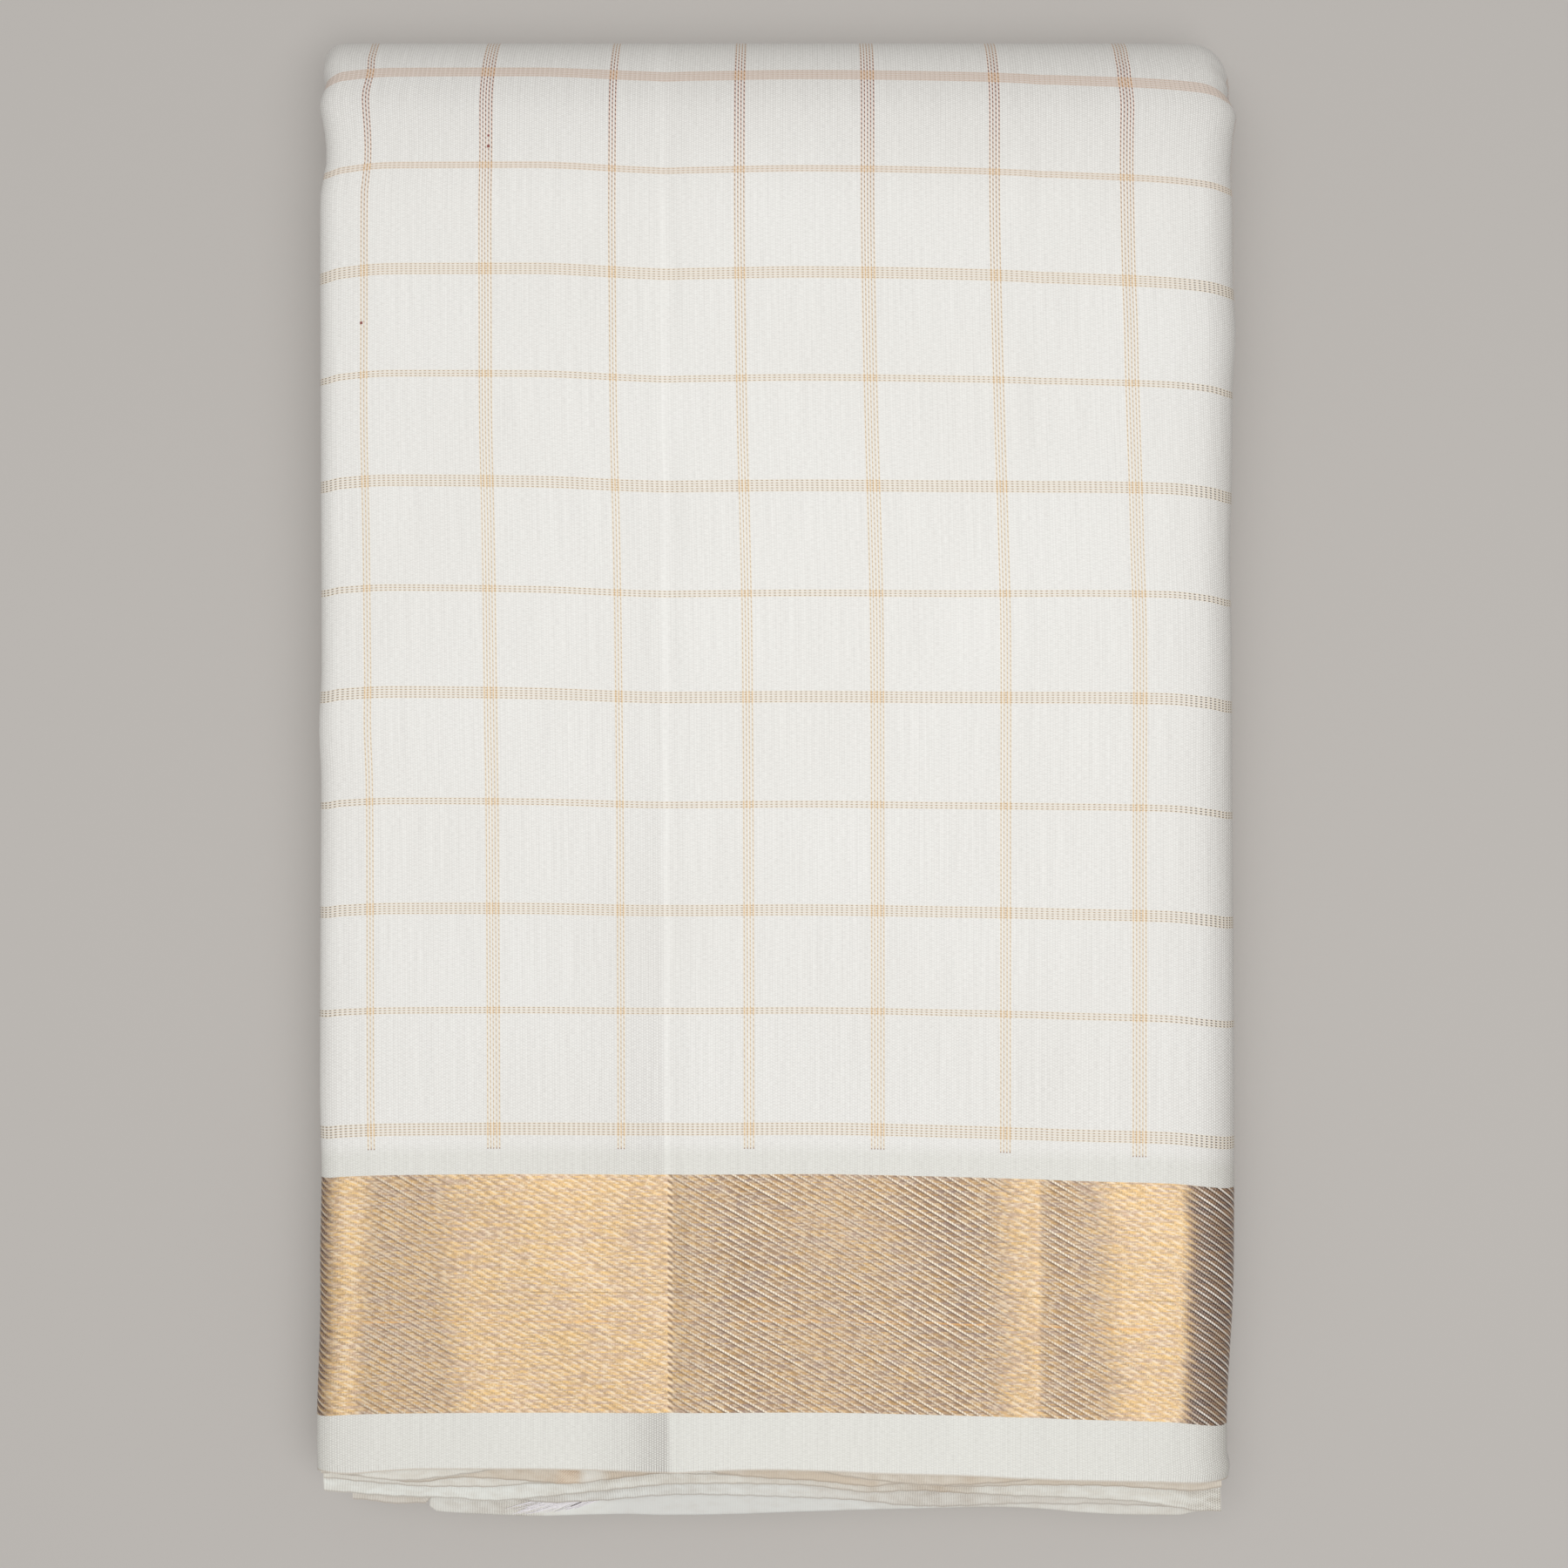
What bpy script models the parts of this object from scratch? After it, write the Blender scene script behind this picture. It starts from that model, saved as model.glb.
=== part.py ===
"""A long silk shoulder cloth, folded flat as it is sold: first down its width, then side over side
into one tall strip, and last in half, so that a thick soft fold lies at the far end and the
woven edges fan out at the near end.

Metres, +Z up. The bundle lies on its underside. The origin is the bottom centre of its box,
+X runs along the cloth's length and +Y points to the thick fold.
"""

import math

import bmesh
import bpy

MM = 0.001

# The folded bundle
WIDTH = 198.8 * MM
FOLD_THICKNESS = 32.0 * MM
END_THICKNESS = 26.0 * MM
FAR_Y = 163.6 * MM
FOLD_REACH = 20.0 * MM
END_Y = -150.0 * MM
SHIFT_X = 0.2 * MM

# The cloth, drawn thick, and the air left between stretches
WALL = 1.2 * MM
GAP = 0.3 * MM
SLIT = 0.2 * MM

# Side rolls: two small ones on the left of each half, one large one on the right
LEFT_ROLL = 4.5 * MM
RIGHT_ROLL = 8.5 * MM
FLAP = 6.0 * MM

# The top face falls a little towards its sides
LEFT_SAG = (0.5 * MM, 14.0 * MM)
RIGHT_SAG = (1.0 * MM, 26.0 * MM)

# Old fold lines that cross the top face: place along X, depth, half width
CREASES = (
    {"x": -24.0 * MM, "depth": 0.45 * MM, "half_width": 5.0 * MM},
    {"x": 56.6 * MM, "depth": 0.35 * MM, "half_width": 4.0 * MM},
)

# Soft waves of the two sides: side, place along the cloth's own path, bulge, half width. They
# fade towards the middle by this power of the distance from it.
WAVE_FADE = 6
SIDE_WAVES = (
    {"side": 1, "at": 172.0 * MM, "bulge": 1.4 * MM, "half_width": 14.0 * MM},
    {"side": 1, "at": 147.0 * MM, "bulge": 1.0 * MM, "half_width": 7.0 * MM},
    {"side": 1, "at": 133.0 * MM, "bulge": -0.5 * MM, "half_width": 8.0 * MM},
    {"side": 1, "at": 98.0 * MM, "bulge": 0.7 * MM, "half_width": 13.0 * MM},
    {"side": 1, "at": 50.0 * MM, "bulge": -0.4 * MM, "half_width": 20.0 * MM},
    {"side": 1, "at": -90.0 * MM, "bulge": 1.1 * MM, "half_width": 140.0 * MM},
    {"side": 1, "at": -140.0 * MM, "bulge": -1.2 * MM, "half_width": 34.0 * MM},
    {"side": -1, "at": 167.0 * MM, "bulge": 0.6 * MM, "half_width": 10.0 * MM},
    {"side": -1, "at": 147.0 * MM, "bulge": 0.7 * MM, "half_width": 7.0 * MM},
    {"side": -1, "at": 134.0 * MM, "bulge": -0.9 * MM, "half_width": 8.0 * MM},
    {"side": -1, "at": 12.0 * MM, "bulge": 0.5 * MM, "half_width": 12.0 * MM},
    {"side": -1, "at": -90.0 * MM, "bulge": 1.0 * MM, "half_width": 140.0 * MM},
    {"side": -1, "at": -86.0 * MM, "bulge": -0.4 * MM, "half_width": 20.0 * MM},
    {"side": -1, "at": -145.0 * MM, "bulge": 1.1 * MM, "half_width": 34.0 * MM},
)

# How far each woven edge reaches past the origin, in mm, at stations evenly spaced across the
# bundle from left to right
STATION_SPAN = 95.0 * MM
REACH = {
    "top": (149.1, 148.2, 148.1, 148.6, 149.0, 148.4, 148.9, 149.4, 150.3, 150.8, 151.2),
    "leaf_1": (149.8, 150.6, 148.2, 148.2, 148.6, 148.5, 150.8, 151.9, 150.5, 152.2, 152.3),
    "leaf_2": (150.8, 151.6, 151.1, 151.5, 149.6, 150.8, 152.5, 151.8, 151.0, 152.0, 152.2),
    "leaf_3": (151.5, 153.2, 153.3, 151.9, 150.6, 151.6, 152.6, 152.0, 151.8, 153.0, 153.9),
    "leaf_4": (157.3, 158.4, 158.8, 157.0, 155.3, 155.7, 157.4, 157.4, 158.4, 159.3, 161.3),
    "leaf_5": (158.9, 160.1, 158.7, 159.7, 158.2, 158.6, 159.8, 160.8, 160.2, 160.4, 159.1),
    "fold_1": (160.7, 162.2, 163.5, 163.0, 163.1, 162.5, 161.9, 161.4, 161.9, 163.0, 162.2),
    "fold_2": (159.0, 160.2, 160.9, 161.3, 161.0, 160.2, 159.6, 159.9, 160.8, 161.4, 160.3),
    "fold_3": (160.4, 161.0, 160.2, 159.4, 159.7, 160.6, 161.1, 160.6, 159.6, 159.3, 159.9),
    "fold_4": (158.2, 158.9, 160.0, 160.6, 160.0, 158.9, 158.4, 159.2, 160.2, 160.4, 159.0),
    "under": (156.2, 157.4, 158.6, 158.2, 157.5, 157.8, 158.5, 158.8, 158.0, 157.0, 154.3),
}

# Round the outer stretch's near edge, the reach passes from "under" to "top" between these shares
# of the half's thickness
EDGE_LOW = 0.62
EDGE_HIGH = 0.92

# Stretches that show at the near end, top to bottom: where the upper face lies from the plane
# between the halves, how thick the stretch is, and where it stops short of the sides
END_ROOT_Y = -128.0 * MM
LEAVES = (
    {"name": "selvedge_leaf_1", "reach": "leaf_1", "top": 11.5, "thick": 1.1},
    {"name": "selvedge_leaf_2", "reach": "leaf_2", "top": 10.05, "thick": 1.1},
    {"name": "selvedge_leaf_3", "reach": "leaf_3", "top": 8.6, "thick": 1.1},
    {"name": "selvedge_leaf_4", "reach": "leaf_4", "top": 6.25, "thick": 1.1},
    {"name": "selvedge_leaf_5", "reach": "leaf_5", "top": 4.85, "thick": 1.1},
)
FOLDS = (
    {"name": "lower_fold_1", "reach": "fold_1", "top": 3.45, "thick": 1.7, "left": -77.0},
    {"name": "lower_fold_2", "reach": "fold_2", "top": -1.7, "thick": 3.05, "left": -99.0},
    {"name": "lower_fold_3", "reach": "fold_3", "top": -5.05, "thick": 3.05, "left": -99.0},
    {"name": "lower_fold_4", "reach": "fold_4", "top": -8.4, "thick": 3.05, "left": -99.0},
)

# Loose threads of the cloth's cut end, lying on the first lower fold: they leave a narrow strip
# side by side and slope to the near edge
THREADS = 8
THREAD_THICKNESS = 0.26 * MM
THREAD_PITCH = 0.36 * MM
THREAD_ROOT = (-40.5 * MM, -160.1 * MM)
THREAD_TIP_Y = -162.75 * MM
THREAD_SLOPE = math.radians(13)
THREAD_STEPS = 3
TIP_WANDER = 0.12 * MM
WANDER_TURN = 2.1
BACKING_WIDTH = 1.0 * MM
BACKING_SHIFT = 0.3 * MM
BACKING_INSET = 0.06 * MM

# How finely the walls are divided; the places are along X, in mm
TOP_PLACES = (-80, -60, -42, 0, 22, 40, 74)
ARM_STEPS = 6
END_SHARES = (0.0, 0.5)
ROLL_STEPS = 6
BIG_ROLL_STEPS = 8
FOLD_STEPS = 12
LENGTH_STEPS = 13
UNDER_STEPS = 5
LEAF_STEPS = 26
NOSE_STEPS = 6
SHARP_ANGLE = math.radians(40)

COLOURS = {
    "outer_stretch": (0.80, 0.78, 0.72),
    "hidden_layers": (0.70, 0.66, 0.58),
    "selvedge_leaf": (0.76, 0.71, 0.62),
    "lower_fold": (0.78, 0.77, 0.75),
    "cut_end_threads": (0.82, 0.80, 0.80),
}

HALF = WIDTH / 2
ROLL_Y = FAR_Y - FOLD_REACH
FOLD_STRETCH = FOLD_REACH / (FOLD_THICKNESS / 2)


def ease(value):
    """0 below 0, 1 above 1, and a soft S between."""
    value = min(max(value, 0.0), 1.0)
    return value * value * (3 - 2 * value)


def bump(distance, half_width):
    """1 at the middle, 0 from half_width on, and round between."""
    return ease(1 - abs(distance) / half_width)


def half_height(y):
    """Half the bundle's thickness at a place along its length."""
    thickness = END_THICKNESS + (FOLD_THICKNESS - END_THICKNESS) * ease((y - END_Y) / (ROLL_Y - END_Y))
    return thickness / 2


def reach(name, x):
    """How far a woven edge comes at this x, read smoothly between its stations."""
    row = REACH[name]
    place = (x / STATION_SPAN + 1) / 2 * (len(row) - 1)
    place = min(max(place, 0.0), len(row) - 1.0)
    before = min(int(place), len(row) - 2)
    share = ease(place - before)
    return (row[before] * (1 - share) + row[before + 1] * share) * MM


def side_wave(x, path):
    """How far the side next to x stands out at this place on the cloth's path."""
    total = 0.0
    for wave in SIDE_WAVES:
        if wave["side"] * x > 0:
            total += wave["side"] * wave["bulge"] * bump(path - wave["at"], wave["half_width"])
    return total * (abs(x) / HALF) ** WAVE_FADE


def sag(x):
    """How far the top face falls at this x, towards a side or in a crease."""
    left = LEFT_SAG[0] * ease(1 - (x + HALF) / LEFT_SAG[1])
    right = RIGHT_SAG[0] * ease(1 - (HALF - x) / RIGHT_SAG[1])
    lines = sum(crease["depth"] * bump(x - crease["x"], crease["half_width"]) for crease in CREASES)
    return left + right + lines


def on_top(x, level, y):
    """A point of the upper half, level metres above the plane between the halves."""
    half = half_height(y)
    return x + SHIFT_X + side_wave(x, y), y, half + level - sag(x) * (level / half) ** 2


def in_fold(x, level, angle):
    """A point of the thick fold, turned by angle from the upper half towards the lower one."""
    half = FOLD_THICKNESS / 2
    fade = max(math.cos(angle), 0.0)
    path = ROLL_Y + half * angle
    y = ROLL_Y + FOLD_STRETCH * level * math.sin(angle)
    z = half + level * math.cos(angle) - fade * sag(x) * (level / half) ** 2
    return x + SHIFT_X + side_wave(x, path), y, z


def below(x, level, y):
    """A point of the lower half, level metres under the plane between the halves."""
    return x + SHIFT_X, y, half_height(y) - level


def arc(centre_x, centre_level, across, up, start, end, steps):
    """Points of part of an ellipse, from one angle to another in degrees."""
    points = []
    for i in range(steps + 1):
        angle = math.radians(start + (end - start) * i / steps)
        points.append((centre_x + across * math.cos(angle), centre_level + up * math.sin(angle)))
    return points


def spread(start, end, level, steps):
    """Points between two ends, without the ends."""
    return [(start + (end - start) * i / steps, level) for i in range(1, steps)]


def top_places():
    """Where the top face has a row of points, closer together at its creases."""
    places = [place * MM for place in TOP_PLACES]
    for crease in CREASES:
        for shift in (-1, 0, 1):
            places.append(crease["x"] + shift * crease["half_width"])
    return sorted(places)


def wrap(half, inset):
    """The way round one half's folded stack at this half thickness, as (x, level) pairs: from the
    slit on the left, over the top, round the large right roll, back underneath and round the
    second left roll into the slit again."""
    small = (half / 2 - SLIT) / 2
    lower_small = (half / 2 - 2 * SLIT) / 2
    large = (half - SLIT) / 2
    left_x = -HALF + LEFT_ROLL
    right_x = HALF - RIGHT_ROLL
    slit_x = -HALF + FLAP + (GAP if inset else 0)
    points = [(slit_x, half / 2 + SLIT + inset)]
    points += arc(left_x, half - small, LEFT_ROLL - inset, small - inset, 270, 90, ROLL_STEPS)
    points += [(x, half - inset) for x in top_places()]
    points += arc(right_x, half - large, RIGHT_ROLL - inset, large - inset, 90, -90, BIG_ROLL_STEPS)
    points += spread(right_x, left_x, SLIT + inset, ARM_STEPS)
    points += arc(left_x, half / 4, LEFT_ROLL - inset, lower_small - inset, 270, 90, ROLL_STEPS)
    points += [(slit_x, half / 2 - SLIT - inset)]
    return points


def wrap_reach(point, half, lower):
    """How far the outer stretch reaches at the near end, at one point of its way round."""
    x, level = point
    under = reach("under", x)
    if lower:
        return under
    share = ease((level / half - EDGE_LOW) / (EDGE_HIGH - EDGE_LOW))
    return under * (1 - share) + reach("top", x) * share


def material(name, colour):
    made = bpy.data.materials.new(name)
    made.use_nodes = True
    shader = made.node_tree.nodes["Principled BSDF"]
    shader.inputs["Base Color"].default_value = (*colour, 1.0)
    shader.inputs["Roughness"].default_value = 0.55
    shader.inputs["Metallic"].default_value = 0.0
    return made


def add_object(name, mesh, colour_name):
    made = bpy.data.objects.new(name, mesh)
    bundle.objects.link(made)
    mesh.materials.append(material(name, COLOURS[colour_name]))
    mesh.shade_smooth()
    mesh.set_sharp_from_angle(angle=SHARP_ANGLE)
    return made


def add_sheet(name, rows, thickness, colour_name):
    """A wall from rows of points on its outer face, thickened inwards."""
    surface = bmesh.new()
    grid = [[surface.verts.new(point) for point in row] for row in rows]
    for one, two in zip(grid, grid[1:]):
        for corners in zip(one, one[1:], two[1:], two):
            surface.faces.new(corners)
    mesh = bpy.data.meshes.new(name)
    surface.to_mesh(mesh)
    surface.free()
    made = add_object(name, mesh, colour_name)
    wall = made.modifiers.new("Wall", "SOLIDIFY")
    wall.thickness = thickness
    wall.offset = -1
    wall.use_even_offset = True
    return made


def add_skin(solid, rings):
    """A closed skin through closed rings of points, capped at both ends."""
    loops = [[solid.verts.new(point) for point in ring] for ring in rings]
    for one, two in zip(loops, loops[1:]):
        for i in range(len(one)):
            j = (i + 1) % len(one)
            solid.faces.new((one[i], one[j], two[j], two[i]))
    solid.faces.new(loops[0][::-1])
    solid.faces.new(loops[-1])


def solid_mesh(name, solid):
    bmesh.ops.recalc_face_normals(solid, faces=solid.faces)
    mesh = bpy.data.meshes.new(name)
    solid.to_mesh(mesh)
    solid.free()
    return mesh


def add_loft(name, rings, colour_name):
    """A closed solid through closed rings."""
    solid = bmesh.new()
    add_skin(solid, rings)
    return add_object(name, solid_mesh(name, solid), colour_name)


def straight_places():
    """Where the straight part has rows of points, from the near end's root to the thick fold:
    evenly spaced, and closer together where a side waves sharply."""
    places = [END_ROOT_Y + (ROLL_Y - END_ROOT_Y) * i / LENGTH_STEPS for i in range(LENGTH_STEPS)]
    places += [wave["at"] - wave["half_width"] / 2 for wave in SIDE_WAVES if ROLL_Y > wave["at"] > 0]
    return sorted(place for place in set(places) if place < ROLL_Y - MM)


def under_places():
    """Where the underside's straight part has rows of points, from the thick fold back."""
    return [ROLL_Y + (END_ROOT_Y - ROLL_Y) * i / UNDER_STEPS for i in range(1, UNDER_STEPS + 1)]


def add_outer_stretch():
    rows = []
    near_half = half_height(END_Y)
    for share in END_SHARES:
        row = []
        for i, point in enumerate(wrap(near_half, 0)):
            edge = -wrap_reach(point, near_half, False)
            y = edge + (END_ROOT_Y - edge) * share
            x, level = wrap(half_height(y), 0)[i]
            row.append(on_top(x, level, y))
        rows.append(row)
    for y in straight_places():
        rows.append([on_top(x, level, y) for x, level in wrap(half_height(y), 0)])
    for step in range(FOLD_STEPS + 1):
        angle = math.pi * step / FOLD_STEPS
        rows.append([in_fold(x, level, angle) for x, level in wrap(FOLD_THICKNESS / 2, 0)])
    for y in under_places():
        rows.append([below(x, level, y) for x, level in wrap(half_height(y), 0)])
    last = []
    for i, point in enumerate(wrap(near_half, 0)):
        y = -wrap_reach(point, near_half, True)
        x, level = wrap(half_height(y), 0)[i]
        last.append(below(x, level, y))
    rows.append(last)
    return add_sheet("outer_stretch", rows, WALL, "outer_stretch")


def add_hidden_layers():
    inset = WALL + GAP
    rings = []
    for y in straight_places():
        rings.append([on_top(x, level, y) for x, level in wrap(half_height(y), inset)])
    for step in range(FOLD_STEPS + 1):
        angle = math.pi * step / FOLD_STEPS
        rings.append([in_fold(x, level, angle) for x, level in wrap(FOLD_THICKNESS / 2, inset)])
    for y in under_places():
        rings.append([below(x, level, y) for x, level in wrap(half_height(y), inset)])
    return add_loft("hidden_layers", rings, "hidden_layers")


def room(top, bottom):
    """The left and right ends that fit inside the outer stretch at the near end, for something
    that lies between two levels of the upper half."""
    half = half_height(END_Y)
    inset = WALL + GAP
    limits = []
    for level in (top, (top + bottom) / 2, bottom):
        upper = level > half / 2
        small = (half / 2 - SLIT) / 2 if upper else (half / 2 - 2 * SLIT) / 2
        centre = half - small if upper else half / 4
        off = min(abs(level - centre) / (small - inset), 1.0)
        left = -HALF + LEFT_ROLL - (LEFT_ROLL - inset) * math.sqrt(1 - off * off)
        if off == 1.0:
            left = -HALF + FLAP + GAP
        large = (half - SLIT) / 2
        off = min(abs(level - half + large) / (large - inset), 1.0)
        right = HALF - RIGHT_ROLL + (RIGHT_ROLL - inset) * math.sqrt(1 - off * off)
        limits.append((left, right))
    return max(left for left, _ in limits), min(right for _, right in limits)


def stations(left, right):
    return [left + (right - left) * i / LEAF_STEPS for i in range(LEAF_STEPS + 1)]


def add_leaf(leaf):
    top = leaf["top"] * MM
    thick = leaf["thick"] * MM
    rows = []
    for x in stations(*room(top, top - thick)):
        root = END_ROOT_Y - GAP
        edge = -reach(leaf["reach"], x)
        rows.append([on_top(x, top, root + (edge - root) * share) for share in (0.0, 0.5, 1.0)])
    return add_sheet(leaf["name"], rows, thick, "selvedge_leaf")


def add_fold(fold):
    radius = fold["thick"] * MM / 2
    middle = fold["top"] * MM - radius
    upper = middle > 0
    place = on_top if upper else lambda x, level, y: below(x, -level, y)
    left, right = room(abs(middle) + radius, abs(middle) - radius)
    rings = []
    for x in stations(max(left, fold["left"] * MM), right):
        root = END_ROOT_Y - GAP
        centre = -reach(fold["reach"], x) + radius
        ring = [place(x, middle + radius, root)]
        for step in range(NOSE_STEPS + 1):
            angle = math.pi * (0.5 + step / NOSE_STEPS)
            ring.append(place(x, middle + radius * math.sin(angle), centre + radius * math.cos(angle)))
        ring.append(place(x, middle - radius, root))
        rings.append(ring)
    return add_loft(fold["name"], rings, "lower_fold")


def thread_points(number):
    """The way of one loose thread, from inside the strip to its tip."""
    root_x, first_y = THREAD_ROOT
    root_y = first_y - THREAD_PITCH * number
    fall = root_y - THREAD_TIP_Y + TIP_WANDER * (1 + math.sin(WANDER_TURN * number))
    points = []
    for step in range(THREAD_STEPS + 1):
        share = step / THREAD_STEPS
        x = root_x - share * fall / math.tan(THREAD_SLOPE)
        points.append((x, root_y - share * fall))
    return points


def add_threads():
    """Square threads side by side, joined to the narrow strip that they leave."""
    level = FOLDS[0]["top"] * MM + GAP
    half = THREAD_THICKNESS / 2
    across = (half * math.sin(THREAD_SLOPE), half * math.cos(THREAD_SLOPE))
    solid = bmesh.new()
    for number in range(THREADS):
        rings = []
        for x, y in thread_points(number):
            ring = []
            for side, high in ((-1, 0), (1, 0), (1, THREAD_THICKNESS), (-1, THREAD_THICKNESS)):
                ring.append(on_top(x - side * across[0], level + high, y + side * across[1]))
            rings.append(ring)
        add_skin(solid, rings)
    threads = bpy.data.objects.new("threads", solid_mesh("threads", solid))
    cutters.objects.link(threads)
    threads.hide_render = True
    threads.display_type = "WIRE"

    root_x, first_y = THREAD_ROOT
    long = THREAD_PITCH * (THREADS - 1) + THREAD_THICKNESS + 2 * BACKING_INSET
    bpy.ops.mesh.primitive_cube_add(size=1)
    strip = bpy.context.object
    strip.name = "cut_end_threads"
    middle = on_top(root_x, level, first_y - THREAD_PITCH * (THREADS - 1) / 2)
    high = THREAD_THICKNESS + BACKING_INSET
    for vertex in strip.data.vertices:
        vertex.co.x = middle[0] + BACKING_SHIFT + BACKING_WIDTH * vertex.co.x
        vertex.co.y = middle[1] + long * vertex.co.y
        vertex.co.z = middle[2] + high * (vertex.co.z + 0.5) - BACKING_INSET / 2
    for other in list(strip.users_collection):
        other.objects.unlink(strip)
    bundle.objects.link(strip)
    strip.data.materials.append(material("cut_end_threads", COLOURS["cut_end_threads"]))
    join = strip.modifiers.new("Threads", "BOOLEAN")
    join.operation = "UNION"
    join.object = threads
    return strip


bpy.ops.object.select_all(action="DESELECT")
for old in list(bpy.data.objects):
    bpy.data.objects.remove(old, do_unlink=True)
bundle = bpy.data.collections.new("silk_angavastram")
cutters = bpy.data.collections.new("helpers")
bpy.context.scene.collection.children.link(bundle)
bpy.context.scene.collection.children.link(cutters)

add_outer_stretch()
add_hidden_layers()
for each in LEAVES:
    add_leaf(each)
for each in FOLDS:
    add_fold(each)
add_threads()
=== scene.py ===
# %% [markdown]
# # A silk shoulder cloth, folded flat
# The real thing is one long piece of cream silk with woven gold checks and a gold border. It was
# folded down its width, then side over side, and last in half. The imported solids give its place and
# size. Thin sheets are laid over them, each folded from a flat grid as the cloth was by hand.

# %% Frame
import math

import bpy
import numpy as np
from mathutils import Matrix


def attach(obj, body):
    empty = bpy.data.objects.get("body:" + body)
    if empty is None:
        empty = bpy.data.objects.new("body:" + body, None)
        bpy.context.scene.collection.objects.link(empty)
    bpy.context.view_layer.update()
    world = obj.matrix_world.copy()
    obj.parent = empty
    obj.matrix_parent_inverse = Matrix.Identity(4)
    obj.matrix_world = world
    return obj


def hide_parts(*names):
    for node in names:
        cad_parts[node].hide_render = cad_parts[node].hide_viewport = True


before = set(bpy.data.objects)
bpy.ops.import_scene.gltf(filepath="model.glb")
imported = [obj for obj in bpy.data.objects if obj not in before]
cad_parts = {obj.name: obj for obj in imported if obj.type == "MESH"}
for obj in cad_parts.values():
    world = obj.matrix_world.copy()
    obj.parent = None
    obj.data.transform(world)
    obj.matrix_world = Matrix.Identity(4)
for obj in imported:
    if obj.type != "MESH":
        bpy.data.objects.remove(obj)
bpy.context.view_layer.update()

# %% [markdown]
# The camera looks straight down from half a metre above the cloth's top face, as in the photograph,
# with the thick fold at the top of the picture. It comes first, since it fixes what will be seen.

# %% Camera
PICTURE_SIDE = 1800
MM_PER_PIXEL = 0.1875
CAMERA_X = 1.5
CAMERA_Y = -0.25
CAMERA_HEIGHT = 500.0
TOP_LEVEL = 32.0
SENSOR = 36.0

bpy.ops.object.select_all(action="DESELECT")
camera_place = (CAMERA_X / 1000, CAMERA_Y / 1000, (TOP_LEVEL + CAMERA_HEIGHT) / 1000)
bpy.ops.object.camera_add(location=camera_place)
camera = bpy.context.object
camera.rotation_euler = (0, 0, 0)
camera.data.sensor_width = SENSOR
camera.data.lens = SENSOR * CAMERA_HEIGHT / (PICTURE_SIDE * MM_PER_PIXEL)
bpy.context.scene.camera = camera
bpy.context.scene.view_settings.view_transform = "Standard"
print("lens:", round(camera.data.lens, 2), "mm")

# %% [markdown]
# A pale floor, and soft light from two large panels overhead. Silk shows its folds by how it catches
# light, so the main panel stands to one side. The other one and the sky only fill.

# %% Floor and light
FLOOR_COLOUR = (0.50, 0.475, 0.45, 1)
FLOOR_ROUGHNESS = 0.7
FLOOR_SIZE = 6.0
FLOOR_GAP = 0.0002
PANELS = (
    {"name": "main", "at": (0.22, -0.22, 1.35), "size": 0.9, "watts": 9.8},
    {"name": "top", "at": (-0.32, 0.24, 1.50), "size": 0.9, "watts": 5.6},
)
SKY_COLOUR = (1, 0.99, 0.97, 1)
SKY_STRENGTH = 0.33

pale = bpy.data.materials.new("pale floor")
pale.use_nodes = True
for socket, value in (("Base Color", FLOOR_COLOUR), ("Roughness", FLOOR_ROUGHNESS)):
    pale.node_tree.nodes["Principled BSDF"].inputs[socket].default_value = value
bpy.ops.object.select_all(action="DESELECT")
bpy.ops.mesh.primitive_plane_add(size=FLOOR_SIZE, location=(0, 0, -FLOOR_GAP))
floor = bpy.context.object
floor.name = "floor"
floor.data.materials.append(pale)
for panel in PANELS:
    bpy.ops.object.light_add(type="AREA", location=panel["at"])
    light = bpy.context.object
    light.name = panel["name"] + " light"
    light.data.size = panel["size"]
    light.data.energy = panel["watts"]
    light.rotation_euler = (-light.location).to_track_quat("-Z", "Y").to_euler()
sky = bpy.data.worlds.new("studio")
sky.use_nodes = True
for socket, value in (("Color", SKY_COLOUR), ("Strength", SKY_STRENGTH)):
    sky.node_tree.nodes["Background"].inputs[socket].default_value = value
bpy.context.scene.world = sky
print("lights:", len(PANELS))

# %% [markdown]
# A few sizes in millimetres describe the folded bundle, the same ones that shaped its solids: how
# wide and thick it is, where the thick fold begins, and how wide its side rolls are. The waves of its
# sides and the old creases in its top come from short tables.

# %% Sizes of the bundle
HALF = 99.4
FOLD_THICKNESS = 32.0
END_THICKNESS = 26.0
ROLL_Y = 143.6
FOLD_REACH = 20.0
END_Y = -150.0
SHIFT_X = 0.2
SLIT = 0.2
SIDE_FALL = 6
LEFT_ROLL = 4.5
RIGHT_ROLL = 8.5
FLAP = 6.0
ROOT_Y = -128.0
LEFT_SAG = (0.5, 14.0)
RIGHT_SAG = (1.0, 26.0)
CREASES = (
    {"x": -24, "depth": 0.45, "half": 5},
    {"x": 56.6, "depth": 0.35, "half": 4},
)
# Dents and bumps of the right side (1) and the left side (-1). The solids have the first seven only.
SIDE_WAVES = {
    1: {
        "at": (172, 147, 133, 98, 50, -90, -140, 152, 153, 168, -150),
        "bulge": (1.4, 1, -0.5, 0.7, -0.4, 1.1, -1.2, -1.8, 1.1, -0.6, 0.5),
        "half": (14, 7, 8, 13, 20, 140, 34, 7.5, 3, 14, 3),
    },
    -1: {
        "at": (167, 147, 134, 12, -90, -86, -145, 141, 151.5, 172),
        "bulge": (0.6, 0.7, -0.9, 0.5, 1, -0.4, 1.1, -1, -1.1, 0.7),
        "half": (10, 7, 8, 12, 140, 20, 34, 13, 5, 13),
    },
}
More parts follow.
